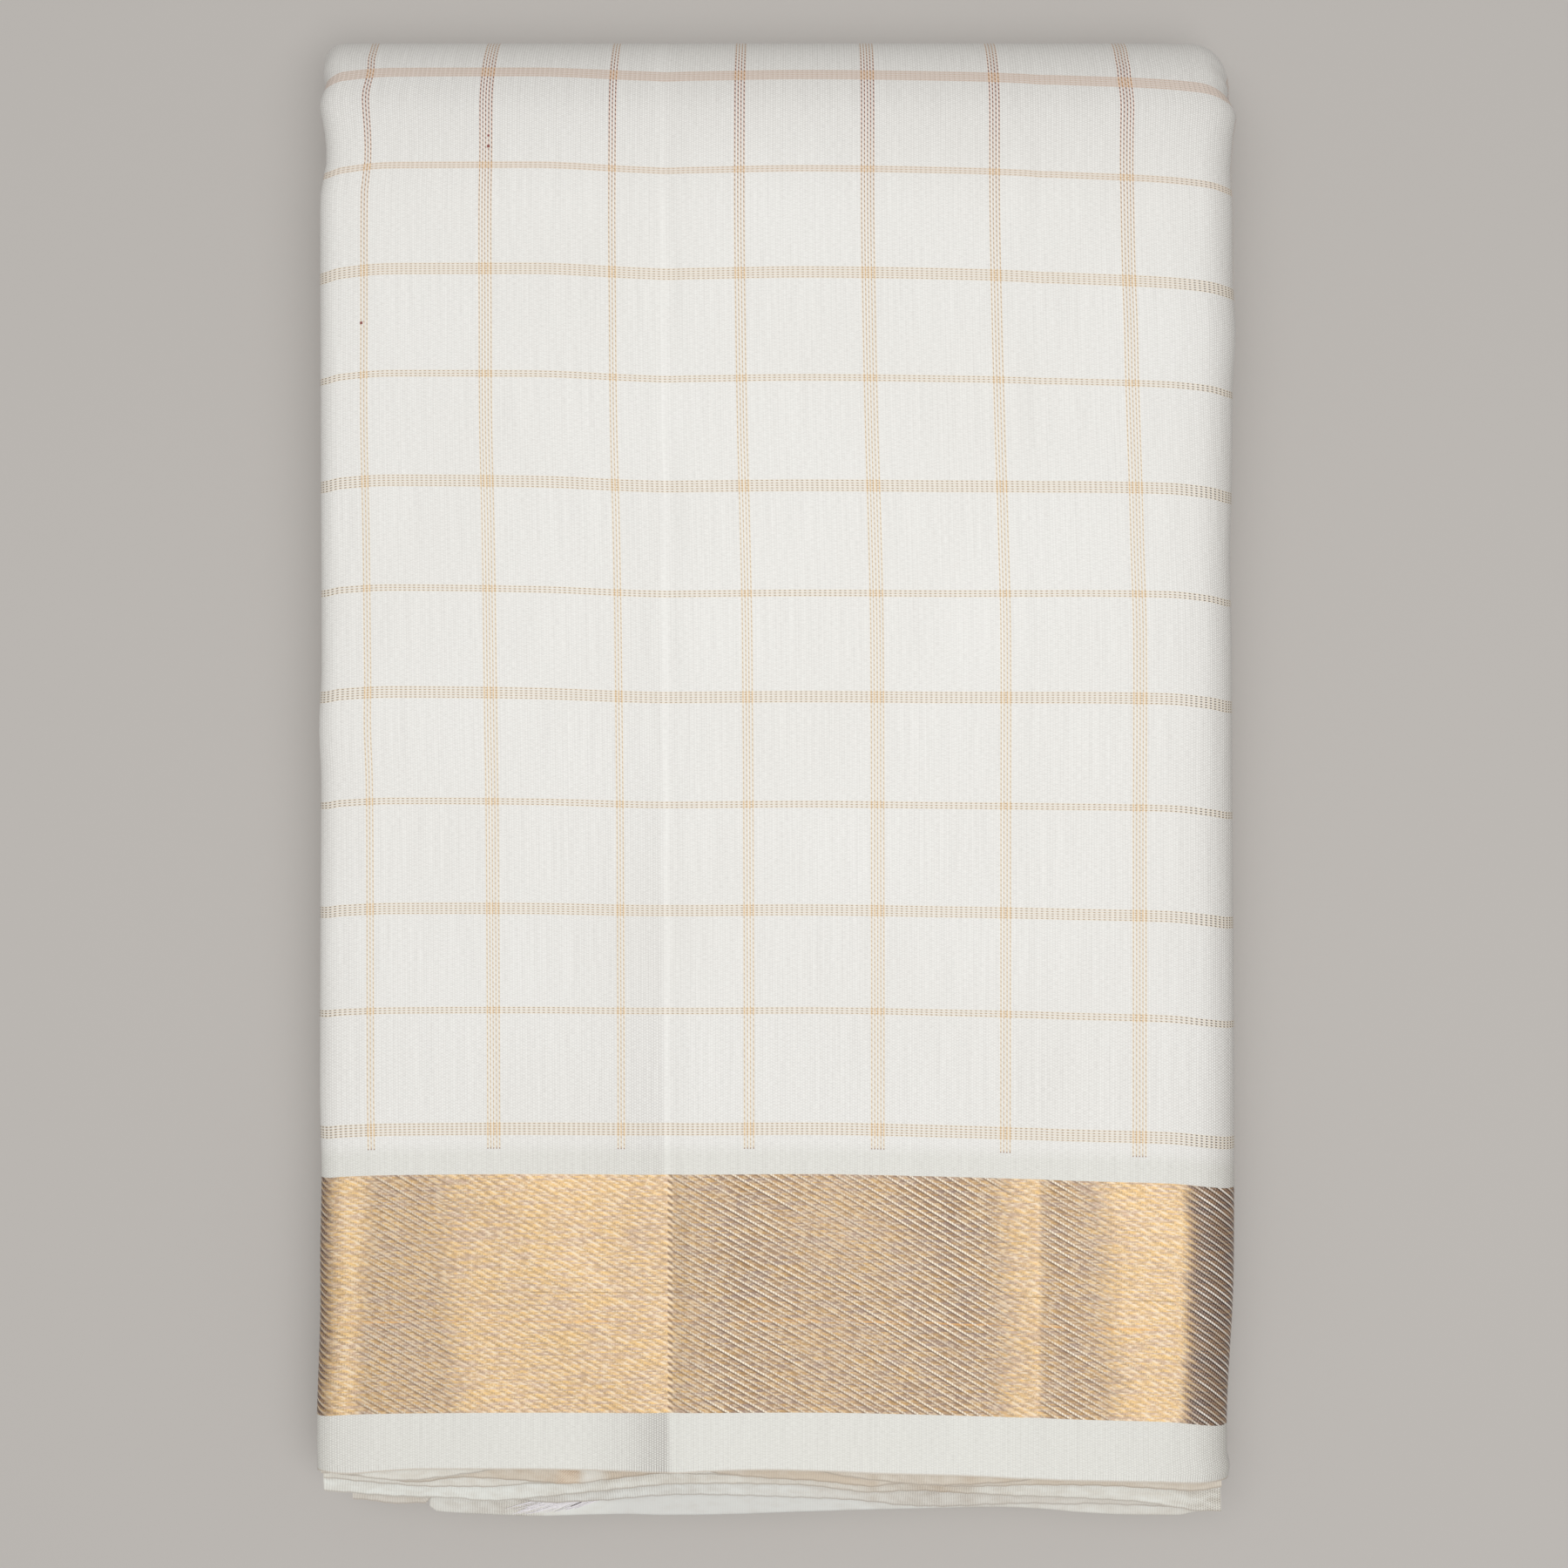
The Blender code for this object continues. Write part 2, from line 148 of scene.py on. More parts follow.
# How far the near edges of the sheets come, y, beyond the bundle's plain end, at x across
FOLD_X = (-95, -57, -19, 19, 57, 95)
EDGES = {
    "top": {
        "x": (-100, -92.8, -86, -77.4, -55.6, -32.9, -22.2, -17, -2.5, 10.8, 22.2, 41.1, 57.3, 81.9, 92.4,
              99),
        "y": (0.3, 0.7, 0.1, -0.4, -0.4, 0.1, 0.6, 0.2, -0.2, 0.1, 0.6, 1.1, 1.9, 2.5, 2.9, 2.8),
    },
    "leaf_1": {
        "x": (-99, -93.1, -86.3, -81, -73, -66.3, -57.7, -48, -6, 7, 11.8, 18.4, 29.9, 35.6, 41.3, 52.7, 61.3,
              92),
        "y": (0.7, 1.1, 2.2, 2.5, 1.7, 0.8, -0.5, -0.9, -0.6, 0.1, 1.1, 2.1, 3.3, 3.5, 3.4, 2.6, 1.6, 2.5),
    },
    "leaf_2": {
        "x": (-99.9, -85.6, -78.9, -69.3, -57.9, -44.5, -37.8, -27.3, -16.8, -12.4, -2.5, 7, 14.7, 20.4, 27.1,
              39.5, 47.1, 54.8, 73.8, 81.5, 92, 97.3),
        "y": (1.3, 2.6, 3.3, 2.2, 2.8, 3.6, 2.8, 1.5, 0.7, 1.5, 2.4, 2.9, 3.7, 4.2, 3.6, 4.2, 4.2, 3.9, 4.1,
              4.7, 5.3, 4.5),
    },
    "leaf_3": {
        "x": (-99.8, -90.6, -82.9, -75.3, -63.8, -52.3, -47.5, -37, -25.5, 1.3, 39.6, 97),
        "y": (2.7, 3.6, 4.2, 4.7, 4.7, 4, 4.1, 2.7, 1.9, 2.5, 4, 4.2),
    },
    "leaf_4": {
        "x": (-100, -83.3, -71.7, -64, -60, -46.7, -33.3, -19.8, -8.3, 5.1, 12.8, 20.5, 31.1, 39.7, 51.3,
              66.6, 78.2, 88.2, 92, 98),
        "y": (6.3, 7.5, 7.8, 8.5, 8.3, 7.1, 5.7, 4.7, 4.7, 5, 5.8, 6.6, 6.2, 6.7, 7.3, 7.9, 8.6, 10, 10.7,
              10.8),
    },
    "leaf_5": {
        "x": (-94.1, -88.9, -85.1, -77.4, -76.6, -74.9, -64.3, -56.5, -50.5, -39.2, -27.6, -18, -2.6, 9, 20.6,
              28.3, 34.1, 47.6, 58, 64, 68.8, 80.4, 91),
        "y": (8.6, 8.9, 9.5, 9.4, 8.2, 7.8, 7.8, 8.8, 9.3, 8.9, 7.9, 7.6, 8, 8.4, 9.1, 10, 10.2, 9.8, 9.5,
              9.8, 9.6, 10, 10.5),
    },
    "fold_1": {
        "x": (-77.3, -76.1, -64.5, -52.9, -41.3, -33.5, -25.8, -14.2, 1.3, 16.8, 32.3, 48.7, 59.4, 67.1, 78,
              88.8, 93.1),
        "y": (10.3, 11.5, 12.2, 12.6, 12.3, 12.2, 12.4, 12.3, 11.8, 11.3, 10.9, 10.6, 11.1, 11.8, 12.3, 12.4,
              11.6),
    },
    "fold_2": {"x": FOLD_X, "y": (9, 11.3, 10.2, 9.9, 11.4, 10.3)},
    "fold_3": {"x": FOLD_X, "y": (10.4, 9.4, 10.6, 10.6, 9.3, 9.9)},
    "fold_4": {"x": FOLD_X, "y": (8.2, 10.6, 8.9, 9.2, 10.4, 9)},
    "under": {
        "x": (-98, -93, -57, -19, 19, 57, 93, 98),
        "y": (-0.6, 6.4, 8.2, 7.8, 8.8, 7, 5.2, 0.5),
    },
}
SOFT_DEPTH = 0.07
FOLD_STRETCH = FOLD_REACH / (FOLD_THICKNESS / 2)
FOLD_PATH = math.pi * FOLD_THICKNESS / 2
FOLD_END = ROLL_Y + FOLD_PATH
print("bundle:", 2 * HALF, "mm wide")

# %% [markdown]
# Every sheet is folded by the same three rules: over the top, round the thick fold and back along
# the underside. A point has a place across the bundle, a level above or below the plane between the
# two halves, and a path along the cloth.

# %% Folding rules


def ease(value):
    value = np.clip(value, 0.0, 1.0)
    return value * value * (3 - 2 * value)


def bump(distance, half_width):
    return ease(1 - np.abs(distance) / half_width)


def half_height(y):
    return (END_THICKNESS + (FOLD_THICKNESS - END_THICKNESS) * ease((y - END_Y) / (ROLL_Y - END_Y))) / 2


def smooth_read(at, places, values):
    """A smooth curve through a short table, flat beyond its ends and never past its values."""
    places = np.asarray(places, float)
    values = np.asarray(values, float)
    step = np.diff(values) / np.diff(places)
    agree = step[:-1] * step[1:] > 0
    slope = np.zeros(len(places))
    slope[1:-1][agree] = 2 * (step[:-1] * step[1:])[agree] / (step[:-1] + step[1:])[agree]
    at = np.clip(at, places[0], places[-1])
    k = np.clip(np.searchsorted(places, at) - 1, 0, len(places) - 2)
    width = places[k + 1] - places[k]
    t = (at - places[k]) / width
    kept = (1 + 2 * t) * (1 - t) ** 2 * values[k] + t * t * (3 - 2 * t) * values[k + 1]
    return kept + width * (t * (1 - t) ** 2 * slope[k] - t * t * (1 - t) * slope[k + 1])


def reach(name, x):
    """How far out the near edge of a sheet lies."""
    return smooth_read(x, EDGES[name]["x"], EDGES[name]["y"]) - END_Y


def side_wave(x, path):
    total = np.zeros(np.broadcast(x, path).shape)
    for side, waves in SIDE_WAVES.items():
        for at, bulge, half_width in zip(*waves.values()):
            total += (side * x > 0) * side * bulge * bump(path - at, half_width)
    return total * (np.abs(x) / HALF) ** SIDE_FALL


def sag(x):
    left = LEFT_SAG[0] * ease(1 - (x + HALF) / LEFT_SAG[1])
    right = RIGHT_SAG[0] * ease(1 - (HALF - x) / RIGHT_SAG[1])
    return left + right + sum(c["depth"] * bump(x - c["x"], c["half"]) for c in CREASES)


def softness(x, path):
    """Slow, shallow unevenness of silk that lies on many layers, in mm."""
    slow = np.sin(0.061 * x + 0.8) * np.sin(0.043 * path + 0.5) + np.sin(0.021 * x - 0.034 * path)
    return SOFT_DEPTH * (slow - 1)


def fold_point(x, level, path):
    """Where a point of the cloth lies, in mm: across, along and up."""
    angle = np.clip((path - ROLL_Y) / (FOLD_THICKNESS / 2), 0, math.pi)
    y_top = np.minimum(path, ROLL_Y)
    y_under = ROLL_Y - np.maximum(path - FOLD_END, 0)
    under = path > FOLD_END
    half = np.where(under, half_height(y_under), half_height(y_top))
    upper = np.clip(level / half, 0, 1) ** 2 * np.maximum(np.cos(angle), 0)
    fall = upper * (sag(x) - softness(x, path) * bump(x, HALF))
    y = np.where(under, y_under, y_top + FOLD_STRETCH * level * np.sin(angle))
    z = half + level * np.cos(angle) - fall
    return np.stack(np.broadcast_arrays(x + SHIFT_X + side_wave(x, path), y, z), axis=-1)


print("top face at the fold:", fold_point(np.array(0.0), np.array(16.0), np.array(ROLL_Y)).round(2))

# %% [markdown]
# A sheet starts as a flat grid, like newly woven cloth. Its points are moved to their folded place,
# while its UV map keeps where they were on the flat cloth, so that the weave follows every fold.
# Solidify then gives it a real thickness.

# %% Sheet helpers
SHARP = math.radians(50)
WELD = 0.00001


def select(*things):
    """Selects these alone and makes the first one active."""
    bpy.ops.object.select_all(action="DESELECT")
    for thing in things:
        thing.select_set(True)
    bpy.context.view_layer.objects.active = things[0]


def points_of(cloth):
    points = np.empty(len(cloth.data.vertices) * 3)
    cloth.data.vertices.foreach_get("co", points)
    return points.reshape(-1, 3)


def flat_grid(name, columns, rows):
    """A new grid, and the column and row of each of its points."""
    bpy.ops.object.select_all(action="DESELECT")
    bpy.ops.mesh.primitive_grid_add(x_subdivisions=columns, y_subdivisions=rows, size=1)
    cloth = bpy.context.object
    cloth.name = name
    cloth.data.name = name
    place = points_of(cloth) + 0.5
    return cloth, np.rint(place[:, 0] * columns).astype(int), np.rint(place[:, 1] * rows).astype(int)


def move_points(cloth, points):
    """Moves each point to its folded place, given in mm."""
    cloth.data.vertices.foreach_set("co", (points / 1000).ravel())
    cloth.data.update()


def lay_map(cloth, across, along):
    """The UV map: where each point lies on the flat cloth, in mm, kept in metres."""
    corners = np.empty(len(cloth.data.loops), int)
    cloth.data.loops.foreach_get("vertex_index", corners)
    flat = np.stack((across, along), axis=-1)[corners] / 1000
    cloth.data.uv_layers[0].data.foreach_set("uv", flat.ravel())


def note(cloth, name, values):
    """Keeps a number at each point for the materials to read."""
    kept = cloth.data.attributes.new(name, "FLOAT", "POINT")
    kept.data.foreach_set("value", np.broadcast_to(values, len(cloth.data.vertices)).astype(float))


def thicken(cloth, thickness):
    bpy.context.view_layer.objects.active = cloth
    bpy.ops.object.modifier_add(type="SOLIDIFY")
    wall = cloth.modifiers[-1]
    wall.thickness = thickness / 1000
    wall.offset = -1
    wall.use_even_offset = True
    bpy.ops.object.modifier_apply(modifier=wall.name)


def close_tube(tube):
    """Welds a rolled grid into a tube and closes its ends."""
    bpy.context.view_layer.objects.active = tube
    bpy.ops.object.mode_set(mode="EDIT")
    bpy.ops.mesh.select_all(action="SELECT")
    bpy.ops.mesh.remove_doubles(threshold=WELD)
    bpy.ops.mesh.select_all(action="DESELECT")
    bpy.ops.mesh.select_non_manifold()
    bpy.ops.mesh.fill_holes(sides=0)
    bpy.ops.mesh.select_all(action="SELECT")
    bpy.ops.mesh.normals_make_consistent(inside=False)
    bpy.ops.object.mode_set(mode="OBJECT")


def joined(name, parts):
    """Several sheets as one piece."""
    select(*parts)
    if len(parts) > 1:
        bpy.ops.object.join()
    parts[0].name = name
    parts[0].data.name = name
    return parts[0]


def hand_over(piece, node, material):
    """The piece stands for its solid, rides with it and gets its finish."""
    select(piece)
    bpy.ops.object.shade_smooth_by_angle(angle=SHARP)
    piece.data.materials.clear()
    piece.data.materials.append(material)
    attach(piece, "root")
    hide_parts(node)
    print(piece.name, len(piece.data.polygons), "faces")


print("smooth up to:", round(math.degrees(SHARP)), "degrees")

# %% [markdown]
# Materials are built from nodes, but written as sums. `Wire` wraps one output of a node, and
# arithmetic on it adds Math nodes, so `1 - mask` works as it reads. `Finish` holds one material and
# adds any other node. Colours are written as they look on screen, from 0 to 255.

# %% Material helpers


class Wire:
    """One output of a node."""

    def __init__(self, finish, socket):
        self.finish = finish
        self.socket = socket

    def math(self, operation, *others, clamp=False):
        settings = {"operation": operation, "use_clamp": clamp}
        return self.finish.add("ShaderNodeMath", settings, dict(enumerate((self, *others))))

    def __add__(self, other):
        return self.math("ADD", other)

    def __sub__(self, other):
        return self.math("SUBTRACT", other)

    def __rsub__(self, other):
        return self.finish.add("ShaderNodeMath", {"operation": "SUBTRACT"}, {0: other, 1: self})

    def __mul__(self, other):
        return self.math("MULTIPLY", other)

    __radd__ = __add__
    __rmul__ = __mul__

    def clamp(self):
        return self.math("ADD", 0.0, clamp=True)

    def wave(self, period):
        """A cosine from -1 to 1 with this period."""
        return (self * (2 * math.pi / period)).math("COSINE")

    def within(self, centre, half, soft):
        """1 inside a band, 0 outside, and a short slope between."""
        away = (self - centre).math("ABSOLUTE")
        return (half * (1 / soft) + 0.5 - away * (1 / soft)).clamp()

    def above(self, limit, soft):
        return ((self - limit) * (1 / soft)).math("ADD", 0.5, clamp=True)

    def nearest(self, period):
        """The signed distance to the nearest whole number of periods."""
        return self - (self * (1 / period)).math("ROUND") * period


class Finish:
    """One material while it is being built."""

    def __init__(self, name, **constants):
        self.material = bpy.data.materials.new(name)
        self.material.use_nodes = True
        self.tree = self.material.node_tree
        self.shader = self.tree.nodes["Principled BSDF"]
        for socket, value in constants.items():
            self.shader.inputs[socket.replace("_", " ")].default_value = value

    def add(self, kind, settings, inputs, out=0):
        """Any node: its type, its settings, and the values or links of its sockets."""
        node = self.tree.nodes.new(kind)
        for name, value in settings.items():
            setattr(node, name, value)
        for key, value in inputs.items():
            if isinstance(value, Wire):
                self.tree.links.new(value.socket, node.inputs[key])
            else:
                node.inputs[key].default_value = value
        return Wire(self, node.outputs[out])

    def mix(self, share, one, two):
        one, two = (colour if isinstance(colour, Wire) else rgb(*colour) for colour in (one, two))
        settings = {"data_type": "RGBA", "clamp_factor": True}
        return self.add("ShaderNodeMix", settings, {0: share, 6: one, 7: two}, 2)

    def layered(self, colour, *layers):
        """A colour with others laid over it, each by its share."""
        for share, over in layers:
            colour = self.mix(share, colour, over)
        return colour

    def read(self, name):
        return self.add("ShaderNodeAttribute", {"attribute_name": name}, {}, "Fac")

    def flat_place(self):
        """Where a point lies on the flat cloth, in mm: across and along."""
        uv = self.add("ShaderNodeUVMap", {"uv_map": "UVMap"}, {})
        across, along = (self.add("ShaderNodeSeparateXYZ", {}, {0: uv}, out) for out in (0, 1))
        return across * 1000, along * 1000

    def noise(self, across, along, size_across, size_along, detail=2.0):
        """Soft cloudy noise from 0 to 1, stretched to these sizes in mm."""
        place = {0: across * (1 / size_across), 1: along * (1 / size_along)}
        inputs = {"Vector": self.add("ShaderNodeCombineXYZ", {}, place), "Scale": 1.0, "Detail": detail}
        return self.add("ShaderNodeTexNoise", {"noise_dimensions": "2D"}, inputs)

    def feed(self, socket, wire):
        self.tree.links.new(wire.socket, self.shader.inputs[socket])

    def raise_by(self, height, depth_mm, strength):
        """Feeds a height to the shader's normal."""
        inputs = {"Strength": strength, "Distance": depth_mm / 1000, "Height": height}
        self.feed("Normal", self.add("ShaderNodeBump", {}, inputs))


def rgb(red, green, blue):
    """A colour as seen on screen, as the linear light that nodes use."""
    seen = np.array((red, green, blue)) / 255
    return (*np.where(seen <= 0.04045, seen / 12.92, ((seen + 0.055) / 1.055) ** 2.4), 1.0)


print("cream:", [round(float(c), 3) for c in rgb(238, 236, 230)])

# %% [markdown]
# The outer stretch shows most: it covers the top, turns round the far fold and lies under the bundle.
# It wraps each half, round one large roll on the right and two small ones on the left. The wrap is
# worked out once as a line of points, closer together where the cloth bends.

# %% Wrap
TOP_STEP = 2.0
CREASE_FINER = 4
CREASE_SPAN = (-1.5, 2.5)
SMALL_ROLL_STEPS = 12
LARGE_ROLL_STEPS = 18
INNER_STEPS = 26
MIDDLE_HALF = (END_THICKNESS + FOLD_THICKNESS) / 4


def arc(centre_x, centre_level, across, up, start, end, steps):
    angle = np.radians(np.linspace(start, end, steps + 1))
    return np.stack((centre_x + across * np.cos(angle), centre_level + up * np.sin(angle)), axis=-1)


def run(places, level):
    return np.stack((places, np.full(len(places), level)), axis=-1)


def places_across(start, end, step):
    """Places across the top, closer together at the old creases."""
    stops = [start, *(crease["x"] + offset for crease in CREASES for offset in CREASE_SPAN), end]
    found = []
    for number, (low, high) in enumerate(zip(stops, stops[1:])):
        count = math.ceil((high - low) / (step / CREASE_FINER if number % 2 else step))
        found += list(np.linspace(low, high, count + 1)[:-1])
    return np.array(found[1:])


def wrap(half, inset, step):
    """The way round one half at this half thickness, as rows of x and level."""
    small = (half / 2 - SLIT) / 2
    lower_small = (half / 2 - 2 * SLIT) / 2
    large = (half - SLIT) / 2
    left_x = -HALF + LEFT_ROLL
    right_x = HALF - RIGHT_ROLL
    slit_x = -HALF + FLAP
    return np.concatenate((
        [[slit_x, half / 2 + SLIT + inset]],
        arc(left_x, half - small, LEFT_ROLL - inset, small - inset, 270, 90, SMALL_ROLL_STEPS),
        run(places_across(left_x, right_x, step), half - inset),
        arc(right_x, half - large, RIGHT_ROLL - inset, large - inset, 90, -90, LARGE_ROLL_STEPS),
        run(np.linspace(right_x, left_x, INNER_STEPS)[1:-1], SLIT + inset),
        arc(left_x, half / 4, LEFT_ROLL - inset, lower_small - inset, 270, 90, SMALL_ROLL_STEPS),
        [[slit_x, half / 2 - SLIT - inset]],
    ))


def level_at(path, spot, inset, step):
    """The level of points this far along the cloth, at these spots round the wrap."""
    y = np.where(path < ROLL_Y, path, ROLL_Y + FOLD_END - np.maximum(path, FOLD_END))
    thin = wrap(END_THICKNESS / 2, inset, step)[spot, 1]
    thick = wrap(FOLD_THICKNESS / 2, inset, step)[spot, 1]
    return thin + (thick - thin) * (2 * half_height(y) - END_THICKNESS) / (FOLD_THICKNESS - END_THICKNESS)


middle_wrap = wrap(MIDDLE_HALF, 0, TOP_STEP)
steps = np.hypot(*np.diff(middle_wrap, axis=0).T)
wrap_length = np.concatenate(([0], np.cumsum(steps)))
on_top = np.abs(middle_wrap[:, 1] - MIDDLE_HALF) < 1e-6
wrap_length -= np.interp(0, middle_wrap[on_top, 0], wrap_length[on_top])
print("wrap:", len(middle_wrap), "points,", round(float(np.ptp(wrap_length)), 1), "mm")

# %% [markdown]
# On the real cloth the gold lines are dead straight. They look bowed because the cloth was pulled a
# little when it was folded. So they stay straight in the flat map, and the map is pulled instead: two
# short tables say how far it leans and droops. The long lines run left to right and the cross lines
# cross them. The map also sets the spacing of the checks, which no hand loom keeps quite even.

# %% Pulled map
# Where the cross lines stand on the top, left to right, and how many threads each has
CROSS_LINES = {
    "x": (-88.1, -61.8, -34.1, -6.3, 21.7, 49.4, 78.4),
    "threads": (3, 5, 3, 4, 5, 4, 5),
}
CROSS_PITCH = 27.8
# Where the long lines lie, from the border up
LONG_LINES = (-75.3, -49.2, -27.3, -4.1, 19.4, 41.8, 65, 88.2, 110.8, 133.1, 154)
LONG_PITCH = 22.9
# How far the cross lines stand to the right of their place, and how much more of that per 100 mm
LEAN = {
    "y": (-75, -15, 31, 54, 77, 99, 127, 148, 160),
    "shift": (0, -0.1, -0.35, -0.8, -1.45, -1.85, -2.15, -2.1, -2),
    "spread": (0, 0, 0.3, 0, -0.3, -0.85, -1.35, -1.6, -2.3),
}
# How far the long lines lie below their place: places across, and a row for each place along
DROOP_X = (-98, -94.6, -83.3, -53.1, -23.9, 5.3, 39.2, 63.7, 84.4, 93.8, 98)
DROOP = {
    -75: (1, 0.65, 0.2, 0, 0.15, 0, 0.65, 1.45, 2.1, 3.1, 3.6),
    42: (0.8, 0.2, -0.35, 0, 1, 0.8, 0.95, 0.9, 1.1, 2, 2.7),
    122: (1.9, 1.1, 0.1, 0, 1.2, 0.75, 1.25, 2.3, 3.2, 4.1, 4.7),
}


def counted(at, places, pitch):
    """A place on the cloth, renumbered so that the lines of a table lie one pitch apart."""
    numbers = pitch * np.arange(len(places))
    inside = np.interp(at, places, numbers)
    return inside + np.minimum(at - places[0], 0) + np.maximum(at - places[-1], 0)


def pulled_map(x, across, y, along):
    """The flat place of points that lie at x, y and this far round and along the cloth."""
    shift = smooth_read(y, LEAN["y"], LEAN["shift"])
    spread = smooth_read(y, LEAN["y"], LEAN["spread"])
    low_row, middle_row, high_row = (smooth_read(x, DROOP_X, row) for row in DROOP.values())
    low_y, middle_y, high_y = DROOP
    high = ease((y - middle_y) / (high_y - middle_y))
    low = ease((middle_y - y) / (middle_y - low_y))
    droop = middle_row * (1 - high - low) + high_row * high + low_row * low
    flat_across = counted(across - shift - spread * x / 100, CROSS_LINES["x"], CROSS_PITCH)
    return flat_across, counted(along + droop, LONG_LINES, LONG_PITCH)


print("lines:", len(CROSS_LINES["x"]), "across and", len(LONG_LINES), "along")

# %% [markdown]
# A few numbers at each point help the finish. `shine` says how brightly the gold border catches the
# light, which changes in bands where the cloth lies a little higher or lower. Gold threads also turn
# dark where they face away: those across the cloth at its sides, those along it over the thick fold.
# The weave's relief and shade say how clearly the weave stands out: as bumps, and as painted shade
# that is stronger where the cloth turns from the light; a dip at the old crease paints a light line.

# %% Bands
SHINE = {
    "x": (-99, -94.5, -93, -89.8, -86.4, -77, -71, -65, -45, -26, -23.8, -22.8, -19, -8, 11, 39, 46, 50, 54,
          56.6, 57.6, 61, 67, 73, 79, 87, 89),
    "value": (0.5, 0.85, 1.1, 0.9, 0.4, 0.42, 0.8, 0.88, 0.92, 0.84, 0.95, 0.5, 0.35, 0.12, 0.38, 0.08, 0.25,
              0.65, 0.88, 0.92, 0.4, 0.12, 0.45, 0.9, 1, 1, 0.9),
}
# Where and how much the bands slant, per mm below the border's upper edge
SHINE_TOP = -86
SHINE_LEANS = (
    {"x": -88.5, "half": 6, "lean": -0.065},
    {"x": -74, "half": 12, "lean": 0.1},
    {"x": 70, "half": 14, "lean": 0.1},
)
SHINE_CLOUDS = {"share": 0.1, "size": 24}
MARKS_END = 160
SIDE_DUSK = {
    "x": (-99.4, -97.5, -96, -95, -93.5, -91, -85, 76, 84, 87, 89.5, 92),
    "value": (0.84, 0.73, 0.6, 0.5, 0.42, 0.3, 0.1, 0.1, 0.3, 0.55, 0.8, 0.95),
}
FAR_DUSK = {"path": (60, 105, 120, 132, 142, 152, 160), "value": (0, 0.15, 0.3, 0.55, 0.9, 1, 0.6)}
# Painted shade of the weave: more at the sides and ends, with a dip that paints a light line at the old
# crease
RELIEF_AND_SHADE_X = (-99.4, -95, -88, -45, -33, -28, -25.5, -25, -24.5, -24, -23.3, 0, 40, 70, 84, 92, 96, 99.4)
# One row for each place along, at the places across above
RELIEF_AND_SHADE = {
    -142: (0.45, 0.34, 0.24, 0.16, 0.35, 0.6, 0.67, 0.69, 0.7, 0.48, 0.18, 0.16, 0.16, 0.2, 0.25, 0.4, 0.6,
           0.8),
    -100: (0.34, 0.24, 0.2, 0.22, 0.3, 0.36, 0.36, 0.34, 0.16, 0.05, 0.2, 0.22, 0.22, 0.21, 0.22, 0.34, 0.55,
           0.8),
    40: (0.32, 0.2, 0.15, 0.14, 0.15, 0.17, 0.17, 0.09, 0.02, 0.08, 0.13, 0.12, 0.12, 0.14, 0.16, 0.28, 0.5,
         0.75),
    125: (0.36, 0.22, 0.17, 0.13, 0.13, 0.13, 0.1, 0.02, 0.06, 0.13, 0.13, 0.13, 0.13, 0.14, 0.16, 0.26, 0.46,
          0.66),
    148: (0.45, 0.38, 0.34, 0.34, 0.34, 0.34, 0.3, 0.26, 0.3, 0.34, 0.34, 0.34, 0.34, 0.35, 0.38, 0.42, 0.5,
          0.7),
}


def cloudy(x, y, size):
    """Slow unevenness from -1 to 1, with patches of about this size."""
    a, b = x / size, y / size
    large = np.sin(a * 2.1 + b * 1.3 + 0.4) * np.sin(b * 2.6 - a * 0.7)
    return (large + np.sin(a * 4.7 - b * 3.1 + 1.9) * 0.5 + np.sin(b * 5.3 + a * 1.9 + 0.7) * 0.4) / 1.9


def outer_marks(x, y, path):
    """What the finish reads at points of the outer stretch."""
    lean = sum(band["lean"] * bump(x - band["x"], band["half"]) for band in SHINE_LEANS)
    shine = np.interp(x + lean * (y - SHINE_TOP), SHINE["x"], SHINE["value"])
    shine += SHINE_CLOUDS["share"] * cloudy(x + 1.2 * y, y, SHINE_CLOUDS["size"])
    side_dusk = np.interp(x, SIDE_DUSK["x"], SIDE_DUSK["value"])
    far_dusk = np.interp(np.minimum(path, MARKS_END), FAR_DUSK["path"], FAR_DUSK["value"])
    rows = np.array([np.interp(x, RELIEF_AND_SHADE_X, row) for row in RELIEF_AND_SHADE.values()])
    spot = np.interp(path, list(RELIEF_AND_SHADE), range(len(RELIEF_AND_SHADE)))
    below = np.minimum(spot.astype(int), len(RELIEF_AND_SHADE) - 2)
    every = np.arange(len(x))
    relief_and_shade = rows[below, every] * (1 - spot + below) + rows[below + 1, every] * (spot - below)
    return {"shine": shine, "side_dusk": side_dusk, "far_dusk": far_dusk, "relief_and_shade": relief_and_shade}


print("shine bands:", len(SHINE["x"]))

# %% [markdown]
# Now the outer stretch is folded from its grid. Its near edge is the cloth's own woven edge on top
# and a fold below, so the way it ends changes round the wrap.

# %% Outer stretch
OUTER_THICKNESS = 0.5
EDGE_ROWS = 22
TOP_ROWS = 84
FOLD_ROWS = 34
UNDER_ROWS = 30
EDGE_LOW = 0.3
EDGE_HIGH = 0.5
FOLD_SAMPLES = 65
CLOUD_SIZE = 40


def wrap_reach(x, level):
    """How far the near edge comes, round the wrap."""
    share = ease((level / (END_THICKNESS / 2) - EDGE_LOW) / (EDGE_HIGH - EDGE_LOW))
    return reach("under", x) * (1 - share) + reach("top", x) * share


def sheet_paths(edge, far_edge):
    """How far along the cloth each row of each column lies."""
    share = np.linspace(0, 1, EDGE_ROWS + 1)[:-1, None]
    near = edge + (ROOT_Y - edge) * share
    top = np.linspace(ROOT_Y, ROLL_Y, TOP_ROWS + 1)[:-1, None]
    fold = np.linspace(ROLL_Y, FOLD_END, FOLD_ROWS + 1)[:-1, None]
    under = FOLD_END + (ROLL_Y - far_edge) * np.linspace(0, 1, UNDER_ROWS + 1)[:, None]
    blank = np.zeros(len(edge))
    return np.concatenate((near, top + blank, fold + blank, under))


